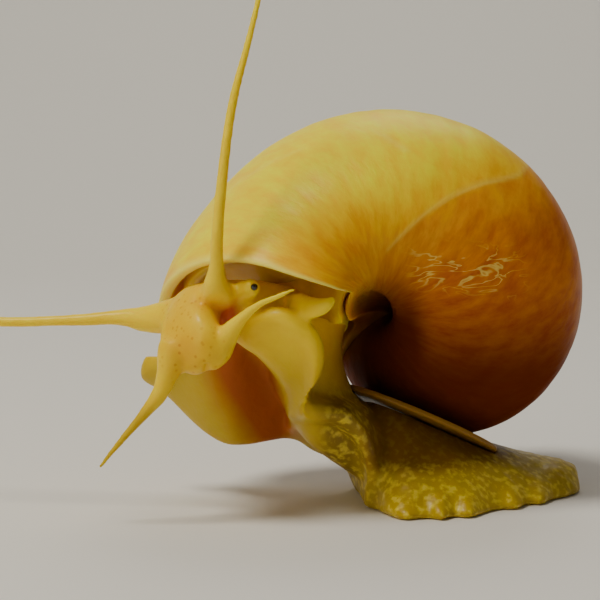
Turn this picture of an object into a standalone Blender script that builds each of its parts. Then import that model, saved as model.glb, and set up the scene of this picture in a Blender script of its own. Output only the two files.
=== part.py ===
"""Golden apple snail as a still, life-size model: shell, operculum, foot, column, head and feelers.

X runs to the tail, Y to the far side, Z up, and the origin lies on the floor under the foot.
Every size is in millimetres until a mesh is made.
"""
import bpy
import numpy as np
from mathutils import Euler

MM = 0.001
GAP = 0.34

# Shell: a spiral that grows by WHORL_GROWTH in one turn about an axis through the apex.
WHORL_GROWTH = 2.113
SHELL_APEX = (4.766, 24.199, 18.537)
SHELL_TURN = (96.136, -38.858, 158.272)
ROWS_PER_TURN = 32
SPIRE_TURNS = 3
SUTURE_COLUMNS = 8
BASE_COLUMNS = 15
# Lip: its lead over the section in radians, how that falls round the section, a small bend of it
# and the turn back at the inner lip, both as height, place and length.
LIP_REACH = 1.2566
LIP_LENGTH = 66.7
LIP_FALL = (1.29, 0.36, 0.11)
LIP_BEND = (0.05, 0.70, 0.06)
INNER_LIP = (1.5, 0.785, 0.10)
LIP_FLARE = 0.078
LIP_FLARE_ANGLE = np.radians(35)
LIP_BLEND = 4.0
LIP_LEAD_START = 0.3
SECTION_CENTRE = np.array([11.25, 29.4])
# Half section of a whorl at full size: distance from the axis and down from the apex, outside then inside.
WALL = [
    (10.70, 14.41, 12.6, 15.9), (13.47, 14.04, 13.9, 15.5), (17.22, 15.53, 16.9, 16.7),
    (20.56, 18.93, 19.8, 19.7), (22.15, 24.54, 21.1, 24.8), (22.60, 30.45, 21.5, 30.2),
    (20.36, 36.28, 19.4, 35.6), (16.20, 41.11, 15.6, 40.1), (10.59, 43.79, 10.6, 42.6),
    (5.90, 43.70, 6.7, 42.7), (3.50, 42.40, 4.6, 41.8), (2.40, 40.30, 3.5, 40.1),
    (1.90, 37.60, 3.0, 37.8), (1.70, 34.70, 2.8, 34.9),
]
PERIPHERY = 5
# Way back to the start of the wall, up the columella and along the earlier whorl.
RETURN = [
    (1.40, 31.0, 2.9, 31.5), (1.10, 26.0, 3.2, 27.5), (1.00, 21.0, 4.4, 23.6), (2.20, 17.6, 7.1, 21.7),
    (5.00, 16.9, 9.0, 20.2), (7.80, 15.9, 10.6, 18.6), (9.80, 14.8, 11.8, 16.8),
]
OUTER_SHARE = 0.62
APEX_CAP = 2.0
PIT_DEPTH = 32.5
# Inside: angles where the hollow starts and ends, and where the soft body in it starts and ends.
HOLLOW_START = -1.25
HOLLOW_END = 0.5
MANTLE_START = -1.19
MANTLE_END = -0.30
MANTLE_ROOM = 0.75
# The umbilicus lies a little nearer the aperture than a true spiral puts it.
UMBILICUS = (-3.7, -3.0, 21.0)
UMBILICUS_SHIFT = (-3.0, 0.0, 0.0)
UMBILICUS_ROOM = 9.0

# Operculum: an oval plate on the back of the tail, its near edge raised.
OPERCULUM_CENTRE = (-2.4, 0.3, 8.3)
OPERCULUM_LENGTH = 17.6
OPERCULUM_WIDTH = 11.8
OPERCULUM_THICK = 0.6
OPERCULUM_ALONG = (0.92, 0.0, -0.39)
OPERCULUM_ACROSS = (0.0, 0.968, -0.25)
OPERCULUM_TAPER = 0.10
OPERCULUM_BEVEL = 0.18
PLATE_ROOM = 0.42
ROOM_OVER_PLATE = 12.0

# Foot: left edge, right edge, hollow of the sole, height of the back and edge thickness, tail first.
FOOT = [
    ((15.3, 4.6, 0.0), (14.9, 8.0, 0.0), 0.0, 1.6, 1.0),
    ((13.6, 0.8, 0.0), (13.0, 10.1, 0.0), 0.0, 2.3, 1.0),
    ((10.9, -2.2, 0.0), (9.6, 12.1, 0.0), 0.0, 2.9, 1.0),
    ((6.0, -6.4, 0.0), (4.0, 12.4, 0.0), 0.0, 4.2, 1.0),
    ((0.4, -10.6, 0.0), (-2.4, 10.6, 0.0), 0.0, 5.0, 1.0),
    ((-5.0, -10.4, 0.0), (-6.6, 8.4, 0.0), 0.0, 4.8, 1.1),
    ((-8.1, -5.4, 0.0), (-8.9, 6.4, 0.0), 0.0, 4.0, 1.3),
    ((-8.2, -6.8, 4.6), (-10.3, 5.6, 2.4), 0.4, 3.0, 1.5),
    ((-10.6, -9.7, 9.5), (-13.5, 4.3, 4.3), 1.0, 2.6, 1.7),
    ((-15.0, -12.1, 11.3), (-16.7, 2.5, 6.0), 1.8, 2.4, 1.9),
    ((-13.9, -13.2, 13.7), (-19.0, 1.0, 5.9), 3.6, 2.2, 2.1),
    ((-13.9, -14.3, 17.5), (-21.0, 0.2, 5.8), 5.0, 2.0, 2.2),
    ((-17.0, -14.7, 20.3), (-23.0, -0.1, 6.1), 5.4, 1.8, 2.2),
    ((-20.4, -13.2, 20.0), (-25.4, 0.5, 7.4), 4.8, 1.6, 2.0),
    ((-22.6, -9.4, 18.0), (-29.6, 1.9, 11.2), 3.0, 1.4, 2.0),
    ((-23.7, -7.3, 17.0), (-31.9, 1.5, 13.4), 1.6, 1.1, 2.1),
    ((-24.1, -6.3, 16.6), (-31.3, 1.2, 15.3), 1.0, 1.0, 2.2),
]
# Lifted sole: two rolls with a valley between, over the rows from HOLLOW_FIRST to HOLLOW_LAST.
NEAR_ROLL = 1.8
FAR_ROLL = 0.7
VALLEY_DEPTH = 2.8
VALLEY_WIDTH = 0.20
VALLEY_ROW = 10
VALLEY_PLACE = 0.8
VALLEY_SLANT = 0.05
VALLEY_BEND = 0.035
HOLLOW_FIRST = 8.6
HOLLOW_LAST = 15.0
HOLLOW_RAMP = 1.6
EDGE_SHARE = 0.12
SAG_SHARE = 0.35
BACK_FOLLOW = 0.4
BACK_ROUNDNESS = 0.85
EDGE_BULGE = 0.35
# Wave of the margin on the floor: height, then turns by X, and how far in it reaches.
MARGIN_WAVE = 0.7
WAVE_TURN = 1.6
WAVE_UNEVEN = 1.1
WAVE_DRIFT = 0.7
MARGIN_SHARE = 0.12
# Ridge under the operculum: height, row, length in rows and width as a share of the foot's width.
RIDGE_HEIGHT = 5.0
RIDGE_ROW = 5.6
RIDGE_LENGTH = 1.7
RIDGE_WIDTH = 0.24
FLOOR_LEVEL = 0.25
FOOT_ROWS = 54
SOLE_COLUMNS = 13
TAIL_PART = 0.31
FRONT_PART = 0.60
# Half of the cut between lengths of the foot, as a share of its rows.
FOOT_CUT = 0.0016

# Column of the body from the aperture down to the foot: centre, then half sizes along X and Y.
COLUMN = [
    (-14.1, 0.6, 25.6, 4.8, 5.6), (-14.2, -0.6, 21.5, 4.8, 6.0), (-14.6, -1.6, 17.4, 4.1, 6.3),
    (-14.1, -1.8, 13.6, 3.8, 6.6), (-12.8, -1.6, 10.6, 3.6, 6.4), (-10.5, -0.8, 7.8, 3.2, 5.8),
    (-7.4, 0.0, 4.8, 2.6, 4.8),
]
# Neck and head: centre, half width across the face, half height.
HEAD_ACROSS = (-0.617, 0.708, -0.345)
HEAD_MIDDLE = (-26.2, -11.2, 21.7)
HEAD = [
    (-14.6, -2.2, 17.8, 3.8, 3.6), (-16.2, -4.4, 19.0, 4.2, 3.7), (-19.0, -7.2, 20.5, 4.2, 3.3),
    (-22.3, -9.6, 21.3, 4.0, 2.9), (-25.5, -11.0, 21.4, 3.5, 2.5),
]
SNOUT = [
    (-25.2, -10.4, 21.8, 3.3, 2.4), (-26.0, -12.1, 20.2, 3.4, 2.4), (-25.8, -13.9, 18.9, 4.0, 2.2),
    (-25.2, -15.0, 17.9, 3.4, 1.8), (-24.7, -15.7, 16.8, 2.3, 1.3),
]
# Feelers: centre and radius along each, and the direction that sets how their rings turn.
FEELER_ACROSS = (0.3, 1.0, 0.2)
FEELER_CUTS = (0, 0.34, 0.67, 1)
LEFT_SUNK = 1.3
RIGHT_SUNK = 0.8
PALP_SUNK = 0.4
TENTACLE_LEFT = [
    (-23.8, -11.6, 22.4, 1.90), (-23.2, -13.6, 23.2, 1.85), (-23.3, -14.7, 24.4, 1.25),
    (-23.2, -15.3, 25.8, 0.85), (-23.1, -16.2, 28.9, 0.66), (-22.6, -16.3, 34.5, 0.58),
    (-21.4, -15.5, 42.8, 0.48), (-20.2, -14.6, 47.4, 0.40), (-17.9, -12.3, 56.8, 0.30),
    (-16.5, -10.6, 61.5, 0.24),
]
TENTACLE_RIGHT = [
    (-26.8, -10.2, 20.9, 1.90), (-29.0, -8.6, 20.3, 1.70), (-30.9, -7.9, 20.1, 1.35),
    (-32.5, -7.5, 20.2, 0.98), (-37.5, -6.9, 19.9, 0.64), (-45.8, -5.9, 19.6, 0.55),
    (-52.1, -4.9, 19.8, 0.46), (-59.6, -3.4, 20.0, 0.38), (-67.3, -1.3, 20.0, 0.30),
    (-73.0, 0.8, 19.6, 0.24),
]
PALP_LEFT = [
    (-24.4, -15.1, 17.3, 1.90), (-23.3, -15.4, 18.0, 1.80), (-22.4, -15.8, 19.1, 1.35),
    (-21.2, -16.6, 20.6, 0.80), (-18.7, -17.9, 22.8, 0.38), (-16.9, -18.4, 23.6, 0.30),
    (-15.6, -18.5, 24.2, 0.22),
]
PALP_RIGHT = [
    (-27.1, -14.1, 18.4, 1.90), (-27.6, -14.3, 17.0, 1.70), (-28.1, -14.5, 15.4, 1.20),
    (-28.9, -14.6, 13.4, 0.90), (-30.2, -14.6, 11.7, 0.62), (-31.8, -14.5, 9.8, 0.45),
    (-33.4, -14.3, 7.9, 0.33), (-34.9, -14.1, 6.0, 0.22),
]
EYE_STALK = [(-21.0, -11.6, 22.8, 1.30), (-20.3, -13.0, 23.6, 1.15), (-19.8, -14.1, 23.9, 1.00)]
EYE_CENTRE = (-19.52, -14.72, 24.05)
EYE_RADIUS = 0.36
SIPHON = [
    (-16.4, -6.6, 20.6, 1.2), (-15.6, -10.4, 21.9, 1.15), (-14.8, -13.2, 22.1, 1.25),
    (-13.6, -14.9, 22.0, 1.15), (-12.4, -15.7, 22.4, 0.85), (-11.7, -15.9, 23.0, 0.5),
]
SIPHON_FLATTEN = 0.72
NECK_MIDDLE = (-15.5, -4.2, 19.0)
MOUTH_AHEAD = 1.2
MOUTH_LENGTH = 1.8
MOUTH_WIDTH = 0.5
MOUTH_DEPTH = 0.9

GOLD = (0.80, 0.47, 0.06, 1.0)
FLESH = (0.78, 0.60, 0.25, 1.0)
PALE = (0.85, 0.72, 0.36, 1.0)
HORN = (0.36, 0.20, 0.07, 1.0)
DARK = (0.02, 0.015, 0.01, 1.0)
SHELL_ROUGHNESS = 0.25
HORN_ROUGHNESS = 0.5
SKIN_ROUGHNESS = 0.45
EYE_ROUGHNESS = 0.1

for item in list(bpy.data.objects):
    bpy.data.objects.remove(item, do_unlink=True)

nodes = []


def unit(v):
    """Vectors divided by their own lengths."""
    v = np.asarray(v, float)
    return v / np.linalg.norm(v, axis=-1, keepdims=True)


def ease(u):
    """Smooth step from 0 to 1."""
    u = np.clip(u, 0, 1)
    return u * u * (3 - 2 * u)


def bell(u):
    """1 at 0, falling away to both sides."""
    return np.exp(-u ** 2)


def along(rows, count, by=3):
    """Cubic through the rows, taken at count places evenly by length of the first numbers."""
    rows = np.asarray(rows, float)
    steps = np.linalg.norm(np.diff(rows[:, :by], axis=0), axis=1)
    t = np.concatenate([[0.0], np.cumsum(steps)])
    slope = np.gradient(rows, t, axis=0)
    s = np.linspace(0.0, t[-1], count)
    i = np.clip(np.searchsorted(t, s, side="right") - 1, 0, len(t) - 2)
    width = (t[i + 1] - t[i])[:, None]
    u = ((s - t[i])[:, None]) / width
    a = (1 + 2 * u) * (1 - u) ** 2
    b = u * (1 - u) ** 2 * width
    c = u * u * (3 - 2 * u)
    d = u * u * (u - 1) * width
    return a * rows[i] + b * slope[i] + c * rows[i + 1] + d * slope[i + 1]


def material(name, colour, roughness):
    """A plain material of one colour."""
    made = bpy.data.materials.new(name)
    made.use_nodes = True
    shader = made.node_tree.nodes["Principled BSDF"]
    shader.inputs["Base Color"].default_value = colour
    shader.inputs["Roughness"].default_value = roughness
    made.diffuse_color = colour
    return made


def solid(name, points, faces):
    """A mesh object from points in millimetres."""
    mesh = bpy.data.meshes.new(name)
    mesh.from_pydata([tuple(p) for p in np.asarray(points, float)], [], faces)
    mesh.validate()
    mesh.update()
    thing = bpy.data.objects.new(name, mesh)
    bpy.context.scene.collection.objects.link(thing)
    return thing


def ring_faces(rings, sides, first_tip, last_tip):
    """Quads between rings, and a fan to a tip point at each end."""
    faces = []
    for r in range(rings - 1):
        for k in range(sides):
            n = (k + 1) % sides
            faces.append((r * sides + k, r * sides + n, (r + 1) * sides + n, (r + 1) * sides + k))
    last = (rings - 1) * sides
    for k in range(sides):
        n = (k + 1) % sides
        faces.append((n, k, first_tip))
        faces.append((last + k, last + n, last_tip))
    return faces


def tube(name, rows, count, sides, across, start_dome=0.0, end_dome=1.0):
    """A limb along the rows: centre, half size across and half size the other way, with domed ends."""
    path = along(rows, count)
    centre, half_a = path[:, :3], path[:, 3]
    half_b = path[:, 4] if path.shape[1] > 4 else half_a
    tangent = unit(np.gradient(centre, axis=0))
    across = unit(across)
    side = unit(across - (tangent @ across)[:, None] * tangent)
    other = np.cross(tangent, side)
    rings = []

    def add(c, s, o, a, b):
        turn = np.linspace(0, 2 * np.pi, sides, endpoint=False)[:, None]
        rings.append(c + a * np.cos(turn) * s + b * np.sin(turn) * o)

    dome = np.radians((60, 30))
    reach = min(half_a[0], half_b[0]) * start_dome
    if start_dome:
        for angle in dome:
            add(centre[0] - tangent[0] * reach * np.sin(angle), side[0], other[0],
                half_a[0] * np.cos(angle), half_b[0] * np.cos(angle))
    for i in range(count):
        add(centre[i], side[i], other[i], half_a[i], half_b[i])
    finish = min(half_a[-1], half_b[-1]) * end_dome
    if end_dome:
        for angle in dome[::-1]:
            add(centre[-1] + tangent[-1] * finish * np.sin(angle), side[-1], other[-1],
                half_a[-1] * np.cos(angle), half_b[-1] * np.cos(angle))
    points = np.concatenate(rings + [[centre[0] - tangent[0] * reach], [centre[-1] + tangent[-1] * finish]])
    total = len(rings) * sides
    return solid(name, points, ring_faces(len(rings), sides, total, total + 1))


def ball(name, centre, radius, turns=14, levels=9):
    """A sphere of rings between two poles."""
    lift = np.linspace(-np.pi / 2, np.pi / 2, levels + 2)[1:-1]
    spin = np.linspace(0, 2 * np.pi, turns, endpoint=False)
    rings = [np.stack([np.cos(a) * np.cos(spin), np.cos(a) * np.sin(spin), np.full(turns, np.sin(a))], 1)
             for a in lift]
    points = np.concatenate(rings + [[(0, 0, -1)], [(0, 0, 1)]]) * radius + centre
    total = levels * turns
    return solid(name, points, ring_faces(levels, turns, total, total + 1))


def settle(thing):
    """Splits the faces into triangles, turns them outward and keeps the largest closed surface."""
    bpy.ops.object.select_all(action="DESELECT")
    thing.select_set(True)
    bpy.context.view_layer.objects.active = thing
    bpy.ops.object.mode_set(mode="EDIT")
    bpy.ops.mesh.select_all(action="SELECT")
    bpy.ops.mesh.normals_make_consistent(inside=False)
    bpy.ops.object.mode_set(mode="OBJECT")
    mesh = thing.data
    mesh.calc_loop_triangles()
    spot = np.array([v.co[:] for v in mesh.vertices])
    tris = np.array([t.vertices[:] for t in mesh.loop_triangles])
    sides = {}
    for number, (a, b, c) in enumerate(tris.tolist()):
        for edge in ((a, b), (b, c), (c, a)):
            sides.setdefault((min(edge), max(edge)), []).append(number)
    links = [[] for _ in tris]
    for pair in sides.values():
        if len(pair) == 2:
            links[pair[0]].append(pair[1])
            links[pair[1]].append(pair[0])
    label = np.full(len(tris), -1)
    found = 0
    for start in range(len(tris)):
        if label[start] >= 0:
            continue
        label[start] = found
        stack = [start]
        while stack:
            for neighbour in links[stack.pop()]:
                if label[neighbour] < 0:
                    label[neighbour] = found
                    stack.append(neighbour)
        found += 1
    corner = spot[tris]
    volume = np.einsum("ij,ij->i", corner[:, 0], np.cross(corner[:, 1], corner[:, 2])) / 6
    size = np.bincount(label, volume, found)
    best = int(np.argmax(np.abs(size)))
    kept = tris[label == best]
    if size[best] < 0:
        kept = kept[:, ::-1]
    used, kept = np.unique(kept, return_inverse=True)
    fresh = bpy.data.meshes.new(mesh.name)
    fresh.from_pydata(spot[used].tolist(), [], kept.reshape(-1, 3).tolist())
    fresh.update()
    thing.data = fresh
    return thing


def closed(mesh):
    """True where every edge joins two faces."""
    sides = np.array([key for face in mesh.polygons for key in face.edge_keys])
    if len(sides) == 0:
        return False
    count = np.unique(np.sort(sides, axis=1), axis=0, return_counts=True)[1]
    return bool(np.all(count == 2))


def cut_away(thing, cutters):
    """Takes the cutters out of the solid in one Boolean and removes them."""
    group = bpy.data.collections.new("cutters")
    bpy.context.scene.collection.children.link(group)
    for cutter in cutters:
        cutter.hide_render = True
        cutter.display_type = "WIRE"
        group.objects.link(cutter)
        bpy.context.scene.collection.objects.unlink(cutter)
    for solver in ("MANIFOLD", "EXACT"):
        change = thing.modifiers.new("cut", "BOOLEAN")
        change.operation = "DIFFERENCE"
        change.operand_type = "COLLECTION"
        change.solver = solver
        change.collection = group
        view = bpy.context.evaluated_depsgraph_get()
        fresh = bpy.data.meshes.new_from_object(thing.evaluated_get(view))
        thing.modifiers.remove(change)
        if closed(fresh):
            break
    thing.data = fresh
    for cutter in cutters:
        bpy.data.objects.remove(cutter, do_unlink=True)
    bpy.data.collections.remove(group)
    return thing


def grown(thing, amount):
    """A copy whose surface lies out by the amount, in millimetres."""
    mesh = thing.data.copy()
    normal = np.array([v.normal[:] for v in mesh.vertices])
    spot = np.array([v.co[:] for v in mesh.vertices]) + normal * amount
    mesh.vertices.foreach_set("co", spot.ravel())
    mesh.update()
    made = bpy.data.objects.new("cutter", mesh)
    bpy.context.scene.collection.objects.link(made)
    return made


def box_of(thing):
    """Low and high corner of the solid."""
    spot = np.array([v.co[:] for v in thing.data.vertices])
    return spot.min(0), spot.max(0)


def near(a, b, reach):
    """True where the boxes of two solids come within the reach."""
    low_a, high_a = box_of(a)
    low_b, high_b = box_of(b)
    return bool(np.all(low_a - reach < high_b) and np.all(low_b - reach < high_a))


def place(thing, name, colour, roughness, cutters=()):
    """Cuts the node clear of those already placed, gives it its material and adds it to the list."""
    settle(thing)
    around = [grown(other, GAP) for other in nodes if near(thing, other, GAP)]
    around += [settle(cutter) for cutter in cutters]
    if around:
        settle(cut_away(thing, around))
    thing.name = name
    thing.data.name = name
    thing.data.materials.clear()
    thing.data.materials.append(material(name, colour, roughness))
    thing.data.polygons.foreach_set("use_smooth", [True] * len(thing.data.polygons))
    nodes.append(thing)
    return thing


def reflect(rows, middle, across):
    """Mirrors path rows in the plane through the middle, square to the across direction."""
    rows = np.array(rows, float)
    across = unit(across)
    shift = (rows[:, :3] - np.array(middle)) @ across
    rows[:, :3] -= 2 * shift[:, None] * across
    return rows


# Shell
GROWTH_RATE = np.log(WHORL_GROWTH) / (2 * np.pi)
STEP = 2 * np.pi / ROWS_PER_TURN


def lip_angle(f):
    """How far the lip reaches past the half plane of the section, by place round the section."""
    fall = LIP_FALL[0] * f + LIP_FALL[1] * f ** 2 + LIP_FALL[2] * f ** 3
    bend = LIP_BEND[0] * bell((f - LIP_BEND[1]) / LIP_BEND[2])
    inner = INNER_LIP[0] * ease((f - INNER_LIP[1]) / INNER_LIP[2])
    return LIP_REACH - fall + bend + inner


def out_of_section(section, angle):
    """Places section points at their angles round the axis, grown with the angle."""
    size = np.exp(GROWTH_RATE * angle)
    local = np.stack([section[..., 0] * size * np.cos(-angle), section[..., 0] * size * np.sin(-angle),
                      -section[..., 1] * size], -1)
    turn = np.array(Euler(np.radians(SHELL_TURN), "XYZ").to_matrix())
    spot = local @ turn.T + np.array(SHELL_APEX)
    away = np.linalg.norm(spot - np.array(UMBILICUS), axis=-1, keepdims=True)
    return spot + np.array(UMBILICUS_SHIFT) * bell(away / UMBILICUS_ROOM)


def flared(section, before_lip, window):
    """Section points spread outward near the lip, by their angle before it."""
    swell = 1 + LIP_FLARE * ease(1 - before_lip / LIP_FLARE_ANGLE) * window
    return SECTION_CENTRE + (section - SECTION_CENTRE) * swell[..., None]


def length_of(curve):
    """Length along the curve at each of its points."""
    return np.concatenate([[0], np.cumsum(np.linalg.norm(np.diff(curve, axis=0), axis=1))])


def spread(curve, count):
    """The curve taken at count + 1 places evenly by length."""
    reach = length_of(curve)
    want = np.linspace(0, reach[-1], count + 1)
    return np.stack([np.interp(want, reach, column) for column in curve.T], 1)


def whorl_section():
    """Outside of a whorl from the suture to the umbilicus, with a point at the periphery."""
    wall = along(WALL, 400, 2)[:, :2]
    edge = np.array(WALL[PERIPHERY][:2])
    cut = int(np.argmin(np.linalg.norm(wall - edge, axis=1)))
    wall[cut] = edge
    return np.concatenate([spread(wall[:cut + 1], SUTURE_COLUMNS), spread(wall[cut:], BASE_COLUMNS)[1:]])


def shell_body():
    """The outside of the shell as one closed surface, with the aperture still filled."""
    edge = SUTURE_COLUMNS
    section = whorl_section()
    last = len(section)
    offset = lip_angle(length_of(section) / LIP_LENGTH) - LIP_REACH
    start = LIP_REACH - 2 * np.pi
    points = []
    faces = []
    spire = {}
    rows = SPIRE_TURNS * ROWS_PER_TURN
    for j in range(rows + 1):
        angle = start + (j - rows) * STEP
        for c in range(edge + 1):
            if c == 0 and j >= ROWS_PER_TURN:
                spire[j, 0] = spire[j - ROWS_PER_TURN, edge]
                continue
            spire[j, c] = len(points)
            points.append(out_of_section(section[c], np.array(angle)))
    for j in range(rows):
        for c in range(edge):
            faces.append((spire[j, c], spire[j, c + 1], spire[j + 1, c + 1], spire[j + 1, c]))
    loop = [spire[j, 0] for j in range(ROWS_PER_TURN + 1)] + [spire[0, c] for c in range(edge - 1, -1, -1)]
    tip = len(points)
    points.append(out_of_section(np.array((0.0, APEX_CAP)), np.array(start - SPIRE_TURNS * 2 * np.pi)))
    for a, b in zip(loop[:-1], loop[1:]):
        faces.append((a, b, tip))
    column = np.arange(last)
    enter = offset * ease((column - edge) / LIP_BLEND)
    window = ease(column / LIP_BLEND) * ease((last - 3 - column) / LIP_BLEND)
    whorl = {}
    for r in range(ROWS_PER_TURN + 1):
        done = r / ROWS_PER_TURN
        lead = ease((done - LIP_LEAD_START) / (1 - LIP_LEAD_START))
        angle = start + enter + 2 * np.pi * done + (offset - enter) * lead
        before = (start + 2 * np.pi + offset) - angle
        spot = out_of_section(flared(section, before, window), angle)
        for c in range(last):
            if c == 0:
                whorl[r, 0] = spire[rows + r - ROWS_PER_TURN, edge]
            elif r == 0 and c <= edge:
                whorl[r, c] = spire[rows, c]
            else:
                whorl[r, c] = len(points)
                points.append(spot[c])
    pit = len(points)
    points.append(out_of_section(np.array((0.0, PIT_DEPTH)), np.array(0.0)))
    for r in range(ROWS_PER_TURN):
        for c in range(last - 1):
            faces.append((whorl[r, c], whorl[r, c + 1], whorl[r + 1, c + 1], whorl[r + 1, c]))
        faces.append((whorl[r, last - 1], pit, whorl[r + 1, last - 1]))
    lip = [whorl[ROWS_PER_TURN, c] for c in range(last)] + [pit]
    wall = [whorl[0, c] for c in range(edge, last)] + [pit]
    i, k = 0, 0
    while i < len(lip) - 1 or k < len(wall) - 1:
        ahead = (i + 1) / (len(lip) - 1) <= (k + 1) / (len(wall) - 1) and i < len(lip) - 1
        if ahead or k == len(wall) - 1:
            if lip[i] != wall[k] and lip[i + 1] != wall[k]:
                faces.append((lip[i], lip[i + 1], wall[k]))
            i += 1
        else:
            if lip[i] != wall[k] and lip[i] != wall[k + 1]:
                faces.append((lip[i], wall[k + 1], wall[k]))
            k += 1
    return solid("shell_body", points, faces)


def lumen(name, shrink, end, first, rows=16, count=34):
    """A closed length of the inside of the last whorl, from deep within to near the lip or past it."""
    wall = along(WALL, 400, 2)
    rest = along(WALL[-1:] + RETURN + WALL[:1], 200, 2)
    front = int(count * OUTER_SHARE)
    ring = np.concatenate([spread(wall, front)[:-1], spread(rest, count - front)[:-1]])[:, 2:]
    turn = np.roll(ring, -1, axis=0) - np.roll(ring, 1, axis=0)
    outward = unit(np.stack([turn[:, 1], -turn[:, 0]], 1))
    if np.sum((ring + outward - ring.mean(0)) ** 2) < np.sum((ring - ring.mean(0)) ** 2):
        outward = -outward
    ring = ring - outward * shrink
    column = np.arange(count)
    f = np.minimum(column / front, 1) * length_of(wall[:, :2])[-1] / LIP_LENGTH
    back = ease((column - front) / (count - front))
    lip = lip_angle(f) * (1 - back) + LIP_REACH * back
    rings = []
    for r in range(rows):
        angle = first + (lip + end - first) * r / (rows - 1)
        rings.append(out_of_section(flared(ring, np.maximum(lip - angle, 0), np.ones(count)), angle))
    points = np.concatenate(rings + [[rings[0].mean(0)], [rings[-1].mean(0)]])
    total = rows * count
    return solid(name, points, ring_faces(rows, count, total, total + 1))


place(shell_body(), "shell", GOLD, SHELL_ROUGHNESS, [lumen("hollow", 0.0, HOLLOW_END, HOLLOW_START)])


# Operculum
def plate_axes():
    """Directions along, across and out of the operculum."""
    along_x = unit(OPERCULUM_ALONG)
    along_y = unit(np.array(OPERCULUM_ACROSS) - np.dot(OPERCULUM_ACROSS, along_x) * along_x)
    return along_x, along_y, np.cross(along_x, along_y)


def oval_plate():
    """The operculum: rings of an oval that narrows a little to the tail, bevelled above and below."""
    along_x, along_y, up = plate_axes()
    low, high, sides = 0.0, OPERCULUM_THICK, 36
    turn = np.linspace(0, 2 * np.pi, sides, endpoint=False)[:, None]
    rings = []
    bevel = OPERCULUM_BEVEL
    for height, inset in ((low, bevel), (low + bevel, 0.0), (high - bevel, 0.0), (high, bevel)):
        half = (OPERCULUM_LENGTH / 2 - inset, OPERCULUM_WIDTH / 2 - inset)
        squeeze = 1 - OPERCULUM_TAPER * np.cos(turn)
        rings.append(np.array(OPERCULUM_CENTRE) + up * height + half[0] * np.cos(turn) * along_x
                     + half[1] * squeeze * np.sin(turn) * along_y)
    points = np.concatenate(rings + [[np.array(OPERCULUM_CENTRE) + up * low],
                                     [np.array(OPERCULUM_CENTRE) + up * high]])
    return solid("plate", points, ring_faces(4, sides, 4 * sides, 4 * sides + 1))


place(oval_plate(), "operculum", HORN, HORN_ROUGHNESS)

# Mantle
mantle = lumen("mantle", MANTLE_ROOM, MANTLE_END, MANTLE_START, 9, 24)
place(mantle, "mantle_collar", FLESH, SKIN_ROUGHNESS)


# Foot
def margin_wave(x):
    """Shift of the foot's margin on the floor by place along it, an uneven wave."""
    return MARGIN_WAVE * np.sin(WAVE_TURN * x + WAVE_UNEVEN * np.sin(WAVE_DRIFT * x))


def ridge(a, row):
    """Height of the ridge that carries the operculum: a bell along the rows times a bell across."""
    return RIDGE_HEIGHT * bell((row - RIDGE_ROW) / RIDGE_LENGTH) * bell((a - 0.5) / RIDGE_WIDTH)


def foot_frame():
    """Edges, back direction, hollow, height, edge thickness, row place and waves at FOOT_ROWS places."""
    table = np.array([(*l, *r, s, h, e, i) for i, (l, r, s, h, e) in enumerate(FOOT)])
    middle = (table[:, :3] + table[:, 3:6]) / 2
    rows = along(np.concatenate([middle, table], 1), FOOT_ROWS)[:, 3:]
    left, right, rest = rows[:, :3], rows[:, 3:6], rows[:, 6:]
    forward = unit(np.gradient((left + right) / 2, axis=0))
    back = unit(np.cross(right - left, forward))
    for _ in range(3):
        inner = unit(back[:-2] + 2 * back[1:-1] + back[2:])
        back = np.concatenate([back[:1], inner, back[-1:]])
    on_floor = (left[:, 2] < FLOOR_LEVEL) & (right[:, 2] < FLOOR_LEVEL)
    back[on_floor] = (0, 0, 1)
    left[on_floor, 2] = 0
    right[on_floor, 2] = 0
    rest[:, 0] = np.where(on_floor, 0, np.maximum(rest[:, 0], 0))
    waves = np.stack([margin_wave(left[:, 0]), -margin_wave(right[:, 0])], 1) * on_floor[:, None]
    return np.concatenate([left, right, back, rest, waves], 1)


def sole_hollow(a, sag, row):
    """Height of the sole over the line between its edges: two rolls with a valley that crosses aslant."""
    ahead = row - VALLEY_ROW
    valley = np.clip(VALLEY_PLACE - VALLEY_SLANT * ahead - VALLEY_BEND * ahead * abs(ahead), 0.02, 0.98)
    lifted = ease((row - HOLLOW_FIRST) / HOLLOW_RAMP) * ease((HOLLOW_LAST - row) / HOLLOW_RAMP)
    near_roll = NEAR_ROLL * np.sin(np.pi * np.clip(a / valley, 0, 1)) ** 2
    far_roll = FAR_ROLL * np.sin(np.pi * np.clip((a - valley) / (1 - valley), 0, 1)) ** 2
    ends = ease(a / EDGE_SHARE) * ease((1 - a) / EDGE_SHARE)
    groove = VALLEY_DEPTH * bell((a - valley) / VALLEY_WIDTH) * ends
    return SAG_SHARE * sag * np.sin(np.pi * a) ** 2 + (groove - near_roll - far_roll) * lifted


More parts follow.
